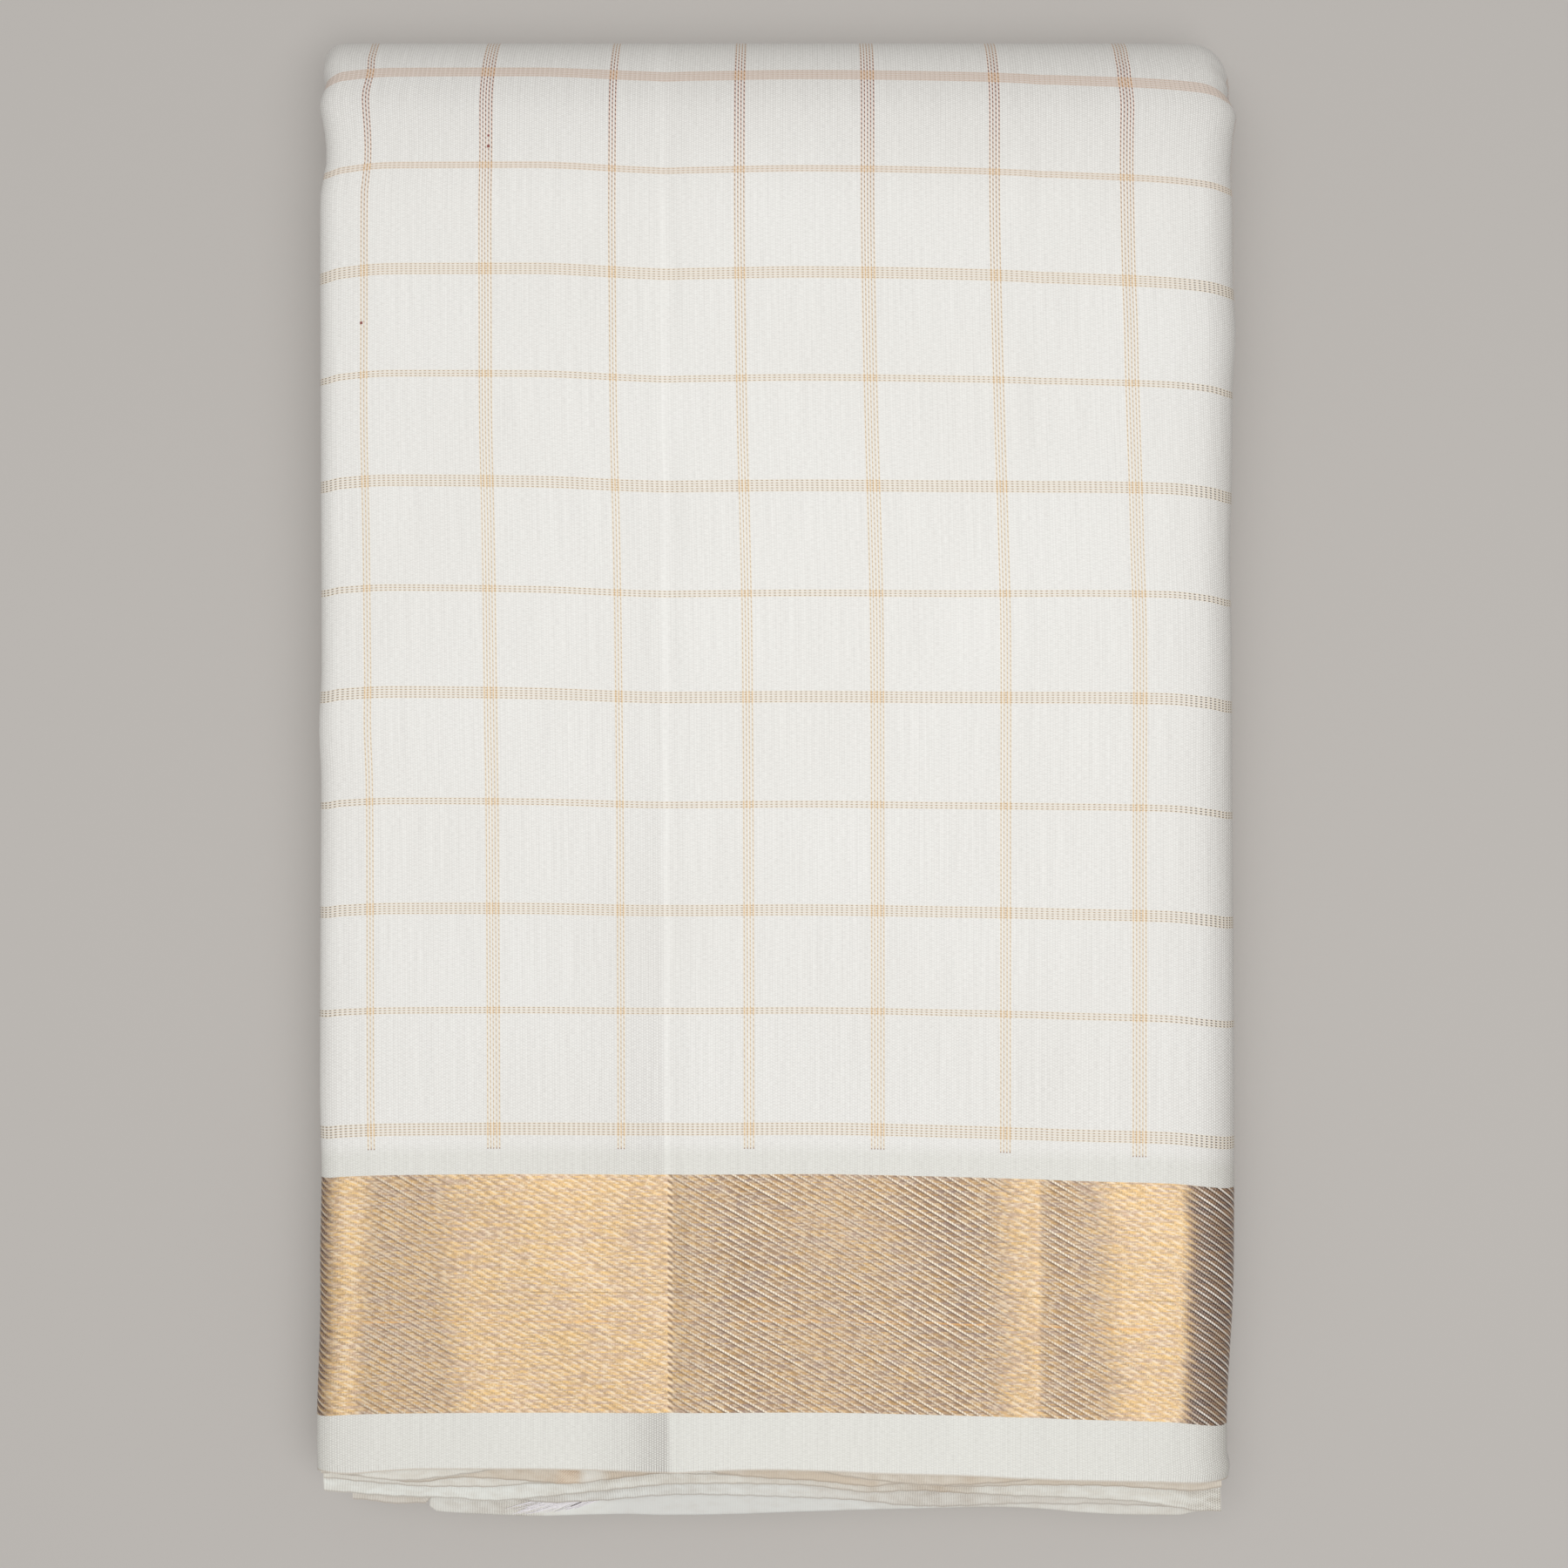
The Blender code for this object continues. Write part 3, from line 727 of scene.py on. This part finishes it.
def true_along(path):
    """The same measured on the cloth itself, which is longer round the thick fold."""
    angle = np.linspace(0, math.pi, FOLD_SAMPLES)
    speed = np.hypot(FOLD_REACH * np.cos(angle), FOLD_THICKNESS / 2 * np.sin(angle))
    walked = np.concatenate(([0], np.cumsum((speed[1:] + speed[:-1]) / 2 * np.diff(angle))))
    round_fold = np.interp((path - ROLL_Y) / (FOLD_THICKNESS / 2), angle, walked)
    return np.minimum(path, ROLL_Y) + round_fold + np.maximum(path - FOLD_END, 0)


wrap_x, near_level = wrap(END_THICKNESS / 2, 0, TOP_STEP).T
edge = -wrap_reach(wrap_x, near_level)
paths = sheet_paths(edge, -reach("under", wrap_x))
cloth, column, row = flat_grid("outer_stretch", len(wrap_x) - 1, len(paths) - 1)
path = paths[row, column]
points = fold_point(wrap_x[column], level_at(path, column, 0, TOP_STEP), path)
move_points(cloth, points)
map_y = np.minimum(path, MARKS_END)
lay_map(cloth, *pulled_map(wrap_x[column], wrap_length[column], map_y, true_along(path)))
for mark, values in outer_marks(wrap_x[column], points[:, 1], path).items():
    note(cloth, mark, values)
note(cloth, "cloud", cloudy(wrap_x[column], path, CLOUD_SIZE))
note(cloth, "edge", path - edge[column])
nearest_line = np.abs(wrap_length[column][:, None] - CROSS_LINES["x"]).argmin(axis=1)
note(cloth, "threads", np.array(CROSS_LINES["threads"])[nearest_line])
thicken(cloth, OUTER_THICKNESS)
outer = cloth

# %% [markdown]
# The silk's finish starts with its ground. Plain weave is a fine checkerboard of threads, which shows
# clearly only where the cloth turns from the light. Near the woven edge the threads pack into ribs.

# %% Silk
COLUMN_PITCH = 0.538
PICK_PITCH = 0.53
SLUB_SIZE = (1.2, 0.3)
REED_SIZE = (0.5, 24.0)
SELVEDGE_RIBS = 1.6
LINE_END = -4.1

silk = Finish("cream silk with gold", Roughness=0.55, Sheen_Weight=0.1, Sheen_Roughness=0.4)
u, v = silk.flat_place()
relief_and_shade = silk.read("relief_and_shade")
from_edge = silk.read("edge")
side_dusk = silk.read("side_dusk")
slub = silk.noise(u, v, *SLUB_SIZE, 1.0)
reed = silk.noise(u, v, *REED_SIZE, 1.0)
columns = u.wave(COLUMN_PITCH)
checker = u.wave(2 * COLUMN_PITCH) * v.wave(PICK_PITCH)
rib_share = 1 - from_edge.above(SELVEDGE_RIBS, 0.5)
weave = columns * (rib_share * 0.35 + 0.4) + checker * (0.6 - rib_share * 0.5)
uneven = (slub - 0.5) * 0.2 + (reed - 0.5) * 0.12
# Painted shade in the weave's hollows, stronger where the cloth turns from the light
low = ((0.5 - weave * 0.5) * relief_and_shade * 1.1 + uneven + 0.02).clamp()
near = 1 - v.above(LINE_END, 3.0)
ground = silk.layered(
    (241, 240, 236),
    (near * 0.8, (229, 229, 222)),
    ((silk.read("cloud") * 0.5 + 0.5) * 0.16, (226, 222, 214)),
    (low, (112, 101, 94)),
)
print("plain weave:", COLUMN_PITCH, "by", PICK_PITCH, "mm")

# %% [markdown]
# A check line is three to five gold threads side by side. Where one comes up it shows as a short
# dash, tan where it lies flat and dark brown where it turns away from the light. The cross lines stop
# short of the border, each thread with a small loop where it turned. Their threads come up by turns,
# while those of the long lines come up together. Three specks of dyed thread show red-brown.

# %% Gold check lines
GOLD_PITCH = 0.66
DASH_PITCH = 1.078
CROSS_SLANT = 0.4
LOOP = 0.16
SPECKS = (
    {"across": CROSS_PITCH + 0.6, "along": 9.3 * LONG_PITCH, "size": 0.25},
    {"across": CROSS_PITCH + 0.6, "along": 9.19 * LONG_PITCH, "size": 0.32},
    {"across": -0.6, "along": 7.5 * LONG_PITCH, "size": 0.3},
)


def gold_dashes(off_line, threads, pitch, along, slant, turns):
    """The share of a line, its threads, and their dashes, at this distance off its middle."""
    line = off_line.within(0.0, threads * (pitch / 2), 0.12)
    place = off_line * (1 / pitch) + (threads - 1) * 0.5
    number = place.math("ROUND")
    local = place - number
    thread = (local.wave(1.0) * 1.2 + 0.2).clamp()
    dash = ((along * (1 / DASH_PITCH) + local * slant + number * turns).wave(1.0) + 0.35).clamp()
    return line, thread, dash


off_thick = v.nearest(2 * LONG_PITCH)
off_thin = (v + LONG_PITCH).nearest(2 * LONG_PITCH)
thick = off_thick.math("ABSOLUTE").math("LESS_THAN", LONG_PITCH / 2)
off_long = off_thick * thick + off_thin * (1 - thick)
long_line, long_thread, long_dash = gold_dashes(off_long, thick * 2 + 3, PICK_PITCH, u, 0.0, 0.0)
cross_line, cross_thread, cross_dash = gold_dashes(
    u.nearest(CROSS_PITCH), silk.read("threads"), GOLD_PITCH, v, CROSS_SLANT, 0.5)
inside = v.above(LINE_END, 0.1)
loop = cross_line * cross_thread * v.within(LINE_END, LOOP, 0.1)
long_line = long_line * inside
cross_line = cross_line * inside
far_dusk = silk.read("far_dusk")
long_tint = silk.mix(far_dusk, (238, 214, 172), (208, 182, 164))
cross_tint = silk.mix(far_dusk, (240, 214, 166), (216, 180, 162))
long_gold = silk.mix(side_dusk, (164, 136, 102), (62, 42, 30))
cross_gold = silk.mix(far_dusk, (180, 150, 116), (92, 46, 40))
long_share = (side_dusk * 0.2 + 0.7) * (1 - far_dusk * 0.65)
ground = silk.layered(
    ground,
    (long_line * (long_thread * 0.3 + far_dusk * 0.3 + 0.12), long_tint),
    (cross_line * cross_thread * (far_dusk * 0.35 + 0.5), cross_tint),
    (long_line * long_thread * long_dash * long_share, long_gold),
    (cross_line * cross_thread * cross_dash * (far_dusk * 0.35 + 0.55), cross_gold),
    (long_line * cross_line * cross_thread * 0.35, (232, 184, 112)),
    (loop * 0.8, (146, 108, 88)),
)
for speck in SPECKS:
    spot = u.within(speck["across"], speck["size"], 0.1) * v.within(speck["along"], speck["size"], 0.1)
    ground = silk.mix(spot * 0.95, ground, (128, 40, 28))
print("dash pitch:", DASH_PITCH, "mm")

# %% [markdown]
# The border is a twill: gold floats over four silk threads and dips under the fifth, and each row
# steps one thread to the right. So the silk shows as slanting lines of pale dots, each with painted
# shade in the hollow beside it. Gold thread is a flat strip wound round silk, and each turn of it
# catches the light otherwise, so every row is streaked. The gold runs from bright to brown and nearly
# black as it turns from the light.

# %% Twill border
BORDER_LOW = -61.9
BORDER_HIGH = -9.8
TWILL_RISE = 1.594
TWILL_RUN = 2.74
TWILL_COLUMN = 0.5475
GOLD_PICK = 0.319
# Painted shade and painted highlight in dashes along a crease across the border
CREASE = {"across": 66.2, "half": 0.55}
FLAWS = (
    {"along": -35.6, "half": 0.14, "colour": (112, 78, 60)},
    {"along": -41.9, "half": 0.3, "colour": (226, 168, 96)},
)

border = v.within((BORDER_LOW + BORDER_HIGH) / 2, (BORDER_HIGH - BORDER_LOW) / 2, 0.12)
shine = silk.read("shine").clamp()
pick = (v * (1 / GOLD_PICK)).math("FLOOR")
streak = ((silk.noise(u, pick * 3.7, 1.6, 1.0) - 0.5) * 4.5 + 0.5).clamp()
hue = ((silk.noise(u, pick * 5.3 + 400, 8.0, 1.0) - 0.5) * 4.0 + 0.5).clamp()
slant = v * (1 / TWILL_RISE) + u * (1 / TWILL_RUN)
number = slant.math("ROUND")
clear = silk.noise(number * 7.3, u, 1.0, 12.0, 0.0) * 0.9 + 0.4
crest = ((slant.wave(1.0) - 0.3) * 1.8).clamp() * clear
# Painted shade in the hollow beside each pale dot
hollow_shade = (((slant + 0.24).wave(1.0) - 0.3) * 1.4).clamp() * clear
between = (((slant + 0.52).wave(1.0) - 0.35) * 2.0).clamp()
dots = u.wave(TWILL_COLUMN) * 0.5 + 0.5
turned = ((side_dusk - 0.66 - slant.wave(1.0) * 0.1 + (clear - 0.85) * 0.15) * 4.5).clamp()
crease = u.within(CREASE["across"], CREASE["half"], 0.3)
dot = silk.mix((shine * 1.6 - 0.3).clamp(), (244, 234, 214), (146, 128, 106))
clear_dots = (dots * 0.75 + 0.35 - shine * 0.35) * (1.05 - shine * 0.4) + turned * 0.4
brown = silk.mix(hue, (150, 126, 112), (168, 128, 76))
bright = silk.mix(hue, (214, 184, 158), (236, 197, 134))
metal = silk.layered(
    silk.mix(shine, brown, bright),
    ((streak * 2 - 1.05).clamp() * 0.5, silk.mix(shine, (214, 190, 156), (240, 220, 184))),
    ((0.85 - streak * 2).clamp() * 0.5, silk.mix(shine, (118, 94, 78), (186, 160, 126))),
    (((slant + 0.7).wave(1.0) * shine * hue * 0.45).clamp(), (240, 198, 130)),
    (((slant + 0.4).wave(1.0) * shine * streak * 0.6).clamp(), (246, 230, 206)),
    (hollow_shade * (0.8 - shine * 0.7), (92, 68, 50)),
    # Painted shade and painted highlight in dashes along the crease
    ((crease * slant.wave(1.0)).clamp() * 0.85, (120, 88, 66)),
    ((crease * (slant + 0.5).wave(1.0)).clamp() * 0.5, (248, 228, 196)),
    (turned * 0.92, silk.mix(hue, (58, 34, 26), (116, 82, 46))),
    (turned * between * (0.5 - dots * 0.5), (198, 174, 166)),
    (turned * hollow_shade * (dots * 0.4 + 0.5), (24, 14, 8)),
)
for flaw in FLAWS:
    faint = v.within(flaw["along"], flaw["half"], 0.2) * hue * (1 - turned) * 0.5
    metal = silk.mix(faint, metal, flaw["colour"])
metal = silk.mix((crest * clear_dots).clamp(), metal, silk.mix(turned, dot, (255, 248, 238)))
edge_line = 1 - from_edge.above(0.3, 0.3)
colour = silk.layered(ground, (border, metal), (edge_line * 0.5, (180, 162, 140)))
silk.feed("Base Color", colour)
silk.feed("Metallic", border * 0.15)
silk.feed("Roughness", 0.55 - border * 0.05)
height = (columns * 0.4 + checker * 0.6) * relief_and_shade * 0.6 + border * crest * 0.5
silk.raise_by(height, 0.06, 0.5)
hand_over(outer, "outer_stretch", silk.material)

# %% [markdown]
# The layers inside never show, but a glance between two leaves should meet cloth and not air. One
# closed body stands for them, just under the outer stretch, with shallow grooves along its sides
# where the hidden folds lie on one another.

# %% Hidden layers
CORE_INSET = 0.95
CORE_STEP = 10.0
CORE_ROWS = (41, 25, 21)
GROOVE = {"depth": 0.2, "turn": 4.2, "from_x": 88, "over": 6}
NO_EDGE = 60.0

core_x = wrap(END_THICKNESS / 2, CORE_INSET, CORE_STEP)[:, 0]
core_rows = np.concatenate((
    np.linspace(ROOT_Y, ROLL_Y, CORE_ROWS[0])[:-1],
    np.linspace(ROLL_Y, FOLD_END, CORE_ROWS[1])[:-1],
    np.linspace(FOLD_END, FOLD_END + ROLL_Y - ROOT_Y, CORE_ROWS[2]),
))
cloth, column, row = flat_grid("hidden_layers", len(core_x), len(core_rows) - 1)
ring = column % len(core_x)
path = core_rows[row]
level = level_at(path, ring, CORE_INSET, CORE_STEP)
outer_share = ease((np.abs(core_x[ring]) - GROOVE["from_x"]) / GROOVE["over"])
groove = GROOVE["depth"] * np.sin(level * GROOVE["turn"]) * outer_share
move_points(cloth, fold_point(core_x[ring] - groove * np.sign(core_x[ring]), level, path))
lay_map(cloth, core_x[ring], path)
for mark, value in {"edge": NO_EDGE, "tone": 0.3, "ribs": 0.3}.items():
    note(cloth, mark, value)
close_tube(cloth)
core = cloth
print("hidden layers:", len(core.data.polygons), "faces")

# %% [markdown]
# Where the woven edge is folded layer upon layer, it shows as narrow ribbed strips. They and the folds
# below take one finish. Three numbers at each point vary it: `tone` goes from cool white to a warm
# beige, `ribs` says how clearly the threads stand out, and `shade` is painted shade that greys the
# sheets lying in the shadow of the stack. The edge threads turn back in a thin darker line, and one
# strip has a small woven patch of gold.

# %% Edge silk
EDGE_LINE = 0.3

edge_silk = Finish("ribbed edge silk", Roughness=0.6, Sheen_Weight=0.1, Sheen_Roughness=0.4)
u, v = edge_silk.flat_place()
tone = edge_silk.read("tone")
ribs = edge_silk.read("ribs")
wander = edge_silk.noise(u, v, 4.0, 1.6)
ridges = (u + wander * 0.3).wave(COLUMN_PITCH)
pits = u.wave(2 * COLUMN_PITCH) * v.wave(PICK_PITCH) * ((ribs - 0.7) * 2.5).clamp()
deep = ((0.35 - ridges * 0.35 - pits * 0.4 + (wander - 0.5) * 0.9) * ribs).clamp()
edge_line = 1 - (edge_silk.read("edge") + (wander - 0.5) * 0.3).above(EDGE_LINE, 0.3)
gold_patch = edge_silk.read("patch")
patch_weave = (u + v * 0.3).wave(DASH_PITCH * 0.6) * v.wave(PICK_PITCH)
patch_dash = (patch_weave * 0.6 + (wander - 0.45) * 1.2).clamp()
colour = edge_silk.layered(
    (228, 229, 223),
    ((tone + (wander - 0.5) * 0.5).clamp(), (206, 192, 173)),
    (deep * 0.65, (116, 106, 96)),
    (edge_line * 0.5, (146, 132, 118)),
    (gold_patch * 0.3, (226, 198, 164)),
    (gold_patch * patch_dash * 0.7, (150, 108, 76)),
    # Painted shade where a sheet lies in the shadow of the stack
    (edge_silk.read("shade"), (170, 166, 168)),
)
edge_silk.feed("Base Color", colour)
edge_silk.raise_by((ridges * 0.5 + pits * 0.3) * ribs, 0.06, 0.6)
hand_over(core, "hidden_layers", edge_silk.material)

# %% [markdown]
# Each leaf is a few thin sheets, each a little shorter than the one above. Their edges wave, since
# the woven edge is tighter than the cloth beside it. The tables give the tone and ribs along each.

# %% Leaves
LEAVES = (
    {"reach": "leaf_1", "top": 11.5, "left": -97, "right": 93, "sheets": 3,
     "x": (-95, -60, 10, 30, 45, 58, 95), "tone": (0.3, 0.35, 0.8, 0.7, 0.9, 0.75, 0.7),
     "ribs": (0.25, 0.3, 0.35, 0.5, 0.35, 0.2, 0.2)},
    {"reach": "leaf_2", "top": 10.05, "left": -98.7, "right": 97.4, "sheets": 3,
     "x": (-99, -75, -50, -44, -42, -39, -36, -30, -15, 0, 14, 25, 45, 60, 95),
     "tone": (0.4, 0.7, 0.9, 0.9, 0.4, 0.4, 1.2, 1.1, 0.85, 0.95, 1.1, 0.7, 0.6, 0.85, 0.75),
     "ribs": (0.2, 0.3, 0.4, 0.5, 0.2, 0.3, 0.8, 0.6, 0.4, 0.3, 0.3, 0.3, 0.3, 0.3, 0.4)},
    {"reach": "leaf_3", "top": 8.6, "left": -98.4, "right": 95, "sheets": 3,
     "x": (-99, 0, 95), "tone": (0.3, 0.35, 0.5), "ribs": (0.3, 0.35, 0.3)},
    {"reach": "leaf_4", "top": 6.5, "left": -98.9, "right": 97.7, "sheets": 1,
     "x": (-100, -60, -48, -30, -10, 14, 28, 36, 44, 60, 85, 90, 98),
     "tone": (0.1, 0.05, 0.2, 0.3, 0.4, 0.5, 0.6, 1, 0.4, 0.2, 0.25, 0.3, 0.35),
     "ribs": (0.45, 0.35, 0.5, 0.6, 0.3, 0.35, 0.5, 0.7, 0.5, 0.4, 0.35, 0.8, 1.1)},
    # Its shade is painted shade: it lies in the stack's shadow
    {"reach": "leaf_5", "top": 4.85, "left": -93.3, "right": 92, "sheets": 3,
     "x": (-94, -77, -76, -50, -35, 0, 20, 35, 45, 60, 90),
     "tone": (0.55, 0.6, 0.3, 0.3, 0.1, 0.1, 0.4, 0.45, 0.45, 0.4, 0.5),
     "ribs": (0.5, 0.5, 0.4, 0.7, 0.65, 0.3, 0.4, 0.8, 0.6, 0.3, 0.3), "shade": 0.15},
)
GOLD_PATCH = {"reach": "leaf_2", "x": -46.0, "half": 2.6}
LEAF_CUT = 0.027
LEAF_THICKNESS = 0.3
LEAF_STEP = 0.4
STEP_BACK = {"mean": 0.55, "swing": 0.3}
RIPPLE = (0.06, 0.05)
EDGE_WAVE = {"height": 0.1, "depth": 8}
LEAF_COLUMNS = 190
LEAF_ROWS = 10


def tint(cloth, strip, x):
    """The tone, ribs and shade of a strip at these places across."""
    for mark in ("tone", "ribs", "shade"):
        values = np.broadcast_to(strip.get(mark, 0.0), len(strip["x"]))
        note(cloth, mark, np.interp(x, strip["x"], values))


def leaf_sheet(leaf, number):
    cloth, column, row = flat_grid(leaf["reach"], LEAF_COLUMNS, LEAF_ROWS)
    x = leaf["left"] + (leaf["right"] - leaf["left"]) * column / LEAF_COLUMNS
    back = number * (STEP_BACK["mean"] + STEP_BACK["swing"] * np.sin(0.11 * x + 2.0 * leaf["top"]))
    ripple = RIPPLE[0] * np.sin(1.1 * x + leaf["top"]) + RIPPLE[1] * np.sin(2.3 * x + 3 * number)
    edge = -(reach(leaf["reach"], x) - back + ripple)
    share = 0.5 * ease(row / LEAF_ROWS) + 0.5 * row / LEAF_ROWS
    y = edge + (ROOT_Y - edge) * share
    near = np.clip(1 - (y - edge) / EDGE_WAVE["depth"], 0, 1)
    wave = EDGE_WAVE["height"] * np.sin(0.35 * x + 1.3 * leaf["top"]) * near
    level = leaf["top"] - LEAF_STEP * number + wave * (number == 0)
    move_points(cloth, fold_point(x, level, y))
    lean = (reach(leaf["reach"], x + 1) - reach(leaf["reach"], x - 1)) / 2
    lay_map(cloth, x - lean * (y - edge), y - edge)
    note(cloth, "edge", y - edge)
    tint(cloth, leaf, x)
    if leaf["reach"] == GOLD_PATCH["reach"]:
        note(cloth, "patch", ease(3 - 3 * np.abs(x - GOLD_PATCH["x"]) / GOLD_PATCH["half"]))
    thicken(cloth, LEAF_THICKNESS)
    return cloth


def stacked(strip, slot, make_sheet, cut):
    """A piece of a few sheets, and how large they were cut."""
    name = slot.split("_")[0] + "_" + strip["reach"]
    piece = joined(name, [make_sheet(strip, number) for number in range(strip["sheets"])])
    hand_over(piece, name, edge_silk.material)
    return piece, (strip["right"] - strip["left"]) / 1000, cut * strip["sheets"]


leaves = [stacked(leaf, "selvedge_leaf", leaf_sheet, LEAF_CUT) for leaf in LEAVES]

# %% [markdown]
# The lower folds are where the cloth's middle turns back. Each shows a smooth round nose instead of
# an edge, so each sheet is folded over a small roll.

# %% Lower folds
LOWER = {"thick": 3.05, "sheets": 4, "x": (-95, 95), "tone": 0.35, "ribs": 0.25}
# The shade row is painted shade: the first fold lies in the stack's shadow
FIRST_TINT = {
    "x": (-77, -65, -53.5, -52.5, -38, -34, 10, 40, 60, 90),
    "tone": (0.2, 0.3, 0.4, 0.1, 0, 0, 0, 0.3, 0.25, 0.3),
    "ribs": (0.35, 0.7, 0.9, 0.1, 0.1, 0.1, 0.2, 0.3, 0.25, 0.4),
    "shade": (0.1, 0.1, 0.1, 0.1, 0.2, 0.3, 0.25, 0.15, 0.1, 0.1),
}
FOLDS = (
    {"reach": "fold_1", "top": 3.45, "left": -77, "right": 93, "thick": 1.7, "sheets": 2, **FIRST_TINT},
    {"reach": "fold_2", "top": -1.7, "left": -92.8, "right": 90.7, **LOWER},
    {"reach": "fold_3", "top": -5.05, "left": -92.8, "right": 97.3, **LOWER},
    {"reach": "fold_4", "top": -8.4, "left": -95.4, "right": 91.7, **LOWER},
)
FOLD_CUT = 0.066
NOSE_GAP = 0.03
NOSE_BACK = 0.25
FOLD_COLUMNS = 120
NOSE_ROWS = 8
ARM_ROWS = 4
FOLD_SHEET = 0.22


def level_point(x, level, y):
    """A point near the end of either half: negative levels lie in the lower one."""
    points = fold_point(x, np.abs(level), y)
    z = np.where(level < 0, half_height(y) + level, points[:, 2])
    return np.stack((np.where(level < 0, x + SHIFT_X, points[:, 0]), y, z), axis=-1)


def fold_sheet(fold, number):
    """One layer folded back on itself."""
    pitch = fold["thick"] / fold["sheets"]
    radius = pitch / 2 - NOSE_GAP
    middle = fold["top"] - pitch * (number + 0.5)
    cloth, column, row = flat_grid(fold["reach"], FOLD_COLUMNS, 2 * ARM_ROWS + NOSE_ROWS)
    x = fold["left"] + (fold["right"] - fold["left"]) * column / FOLD_COLUMNS
    back = number * NOSE_BACK * (1 + np.sin(0.07 * x + fold["top"] + number))
    nose = -(reach(fold["reach"], x) - back) + radius
    angle = math.pi * (0.5 + np.clip(row - ARM_ROWS, 0, NOSE_ROWS) / NOSE_ROWS)
    run_in = np.clip(1 - row / ARM_ROWS, 0, 1) + np.clip((row - NOSE_ROWS) / ARM_ROWS - 1, 0, 1)
    y = nose + radius * np.cos(angle) + (ROOT_Y - nose) * run_in
    level = middle + radius * np.sin(angle)
    move_points(cloth, level_point(x, level, y))
    lay_map(cloth, x, -radius * angle + np.where(row < ARM_ROWS, 1, -1) * (ROOT_Y - nose) * run_in)
    note(cloth, "edge", NO_EDGE)
    tint(cloth, fold, x)
    thicken(cloth, FOLD_SHEET)
    return cloth


folds = [stacked(fold, "lower_fold", fold_sheet, FOLD_CUT) for fold in FOLDS]

# %% [markdown]
# Where the length was cut, loose warp threads stick out from under the leaves. They are many fine
# four-sided strands that leave a narrow strip side by side and slope to the edge. One strand is
# modelled and copied, and each copy gets its own slope, length and bend.

# %% Loose threads
THREADS = 90
THREAD_SIZE = 0.22
THREAD_ROOT = {"x": -36.5, "y": -158.3, "spread": 13.0}
THREAD_LENGTH = (6.0, 12.0)
THREAD_SLOPE = (12, 22)
THREAD_BEND = 0.25
THREAD_RAGGED = 0.35
THREAD_LEVEL = 3.62
THREAD_EDGE = -162.2
THREAD_LAYER = 0.06
# One strand is coloured near-black: painted shade of a gap between the strands
SHADOW_STRAND = {"number": 31, "x": -41.1, "length": 4.9, "slope": 24, "lift": 0.15}
STRIP = {"width": 0.9, "thickness": 0.3}

glossy = Finish("glossy loose threads", Roughness=0.45, Sheen_Weight=0.1)
u, v = glossy.flat_place()
gloss = glossy.mix(glossy.noise(u, v, 3.0, 0.15), (240, 239, 240), (204, 196, 200))
# The strand marked deep gets the near-black of painted shade
glossy.feed("Base Color", glossy.mix(glossy.read("deep"), gloss, (52, 16, 30)))


def strand_copy(first, number):
    """A copy of the first strand, laid in its own place."""
    select(first)
    bpy.ops.object.duplicate()
    cloth = bpy.context.object
    share, beside, above = points_of(cloth).T * 1000
    random = np.random.default_rng(number)
    x = THREAD_ROOT["x"] - THREAD_ROOT["spread"] * random.random()
    long = random.uniform(*THREAD_LENGTH)
    slope = random.uniform(*THREAD_SLOPE)
    dark = number == SHADOW_STRAND["number"]
    if dark:
        x, long, slope = SHADOW_STRAND["x"], SHADOW_STRAND["length"], SHADOW_STRAND["slope"]
    x = x - long * share
    slope = math.tan(math.radians(slope))
    bend = random.uniform(-THREAD_BEND, THREAD_BEND) * np.sin(math.pi * share)
    y = THREAD_ROOT["y"] - slope * long * share + bend
    y = np.maximum(y, THREAD_EDGE + THREAD_RAGGED * random.random())
    thin = THREAD_SIZE / 2 * (1 - 0.5 * share ** 4)
    level = THREAD_LEVEL + THREAD_LAYER * (number % 4) + SHADOW_STRAND["lift"] * dark + thin * above
    move_points(cloth, fold_point(x, level, y + thin * beside))
    lay_map(cloth, x, y + number)
    note(cloth, "deep", float(dark))
    return cloth


first, column, row = flat_grid("strand", 8, 4)
turn = math.pi * (0.25 + row / 2)
move_points(first, np.stack((column / 8, np.cos(turn), np.sin(turn)), axis=-1))
close_tube(first)
bpy.ops.object.select_all(action="DESELECT")
bpy.ops.mesh.primitive_cube_add(size=1)
strip = bpy.context.object
corner = points_of(strip)
strip_x = THREAD_ROOT["x"] + (corner[:, 0] - 0.5) * (THREAD_ROOT["spread"] + 1)
strip_y = THREAD_ROOT["y"] + (corner[:, 1] + 0.4) * STRIP["width"]
move_points(strip, fold_point(strip_x, THREAD_LEVEL + STRIP["thickness"] * corner[:, 2], strip_y))
strands = [strand_copy(first, number) for number in range(THREADS)]
bpy.data.objects.remove(first)
threads_piece = joined("cut_end_threads", [strip] + strands)
hand_over(threads_piece, "cut_end_threads", glossy.material)

# %% [markdown]
# Last, the loop below goes through the leaves and folds with the sizes they were cut to, and does
# nothing with them.

# %% Sizes and end
for piece, width, length in leaves + folds:
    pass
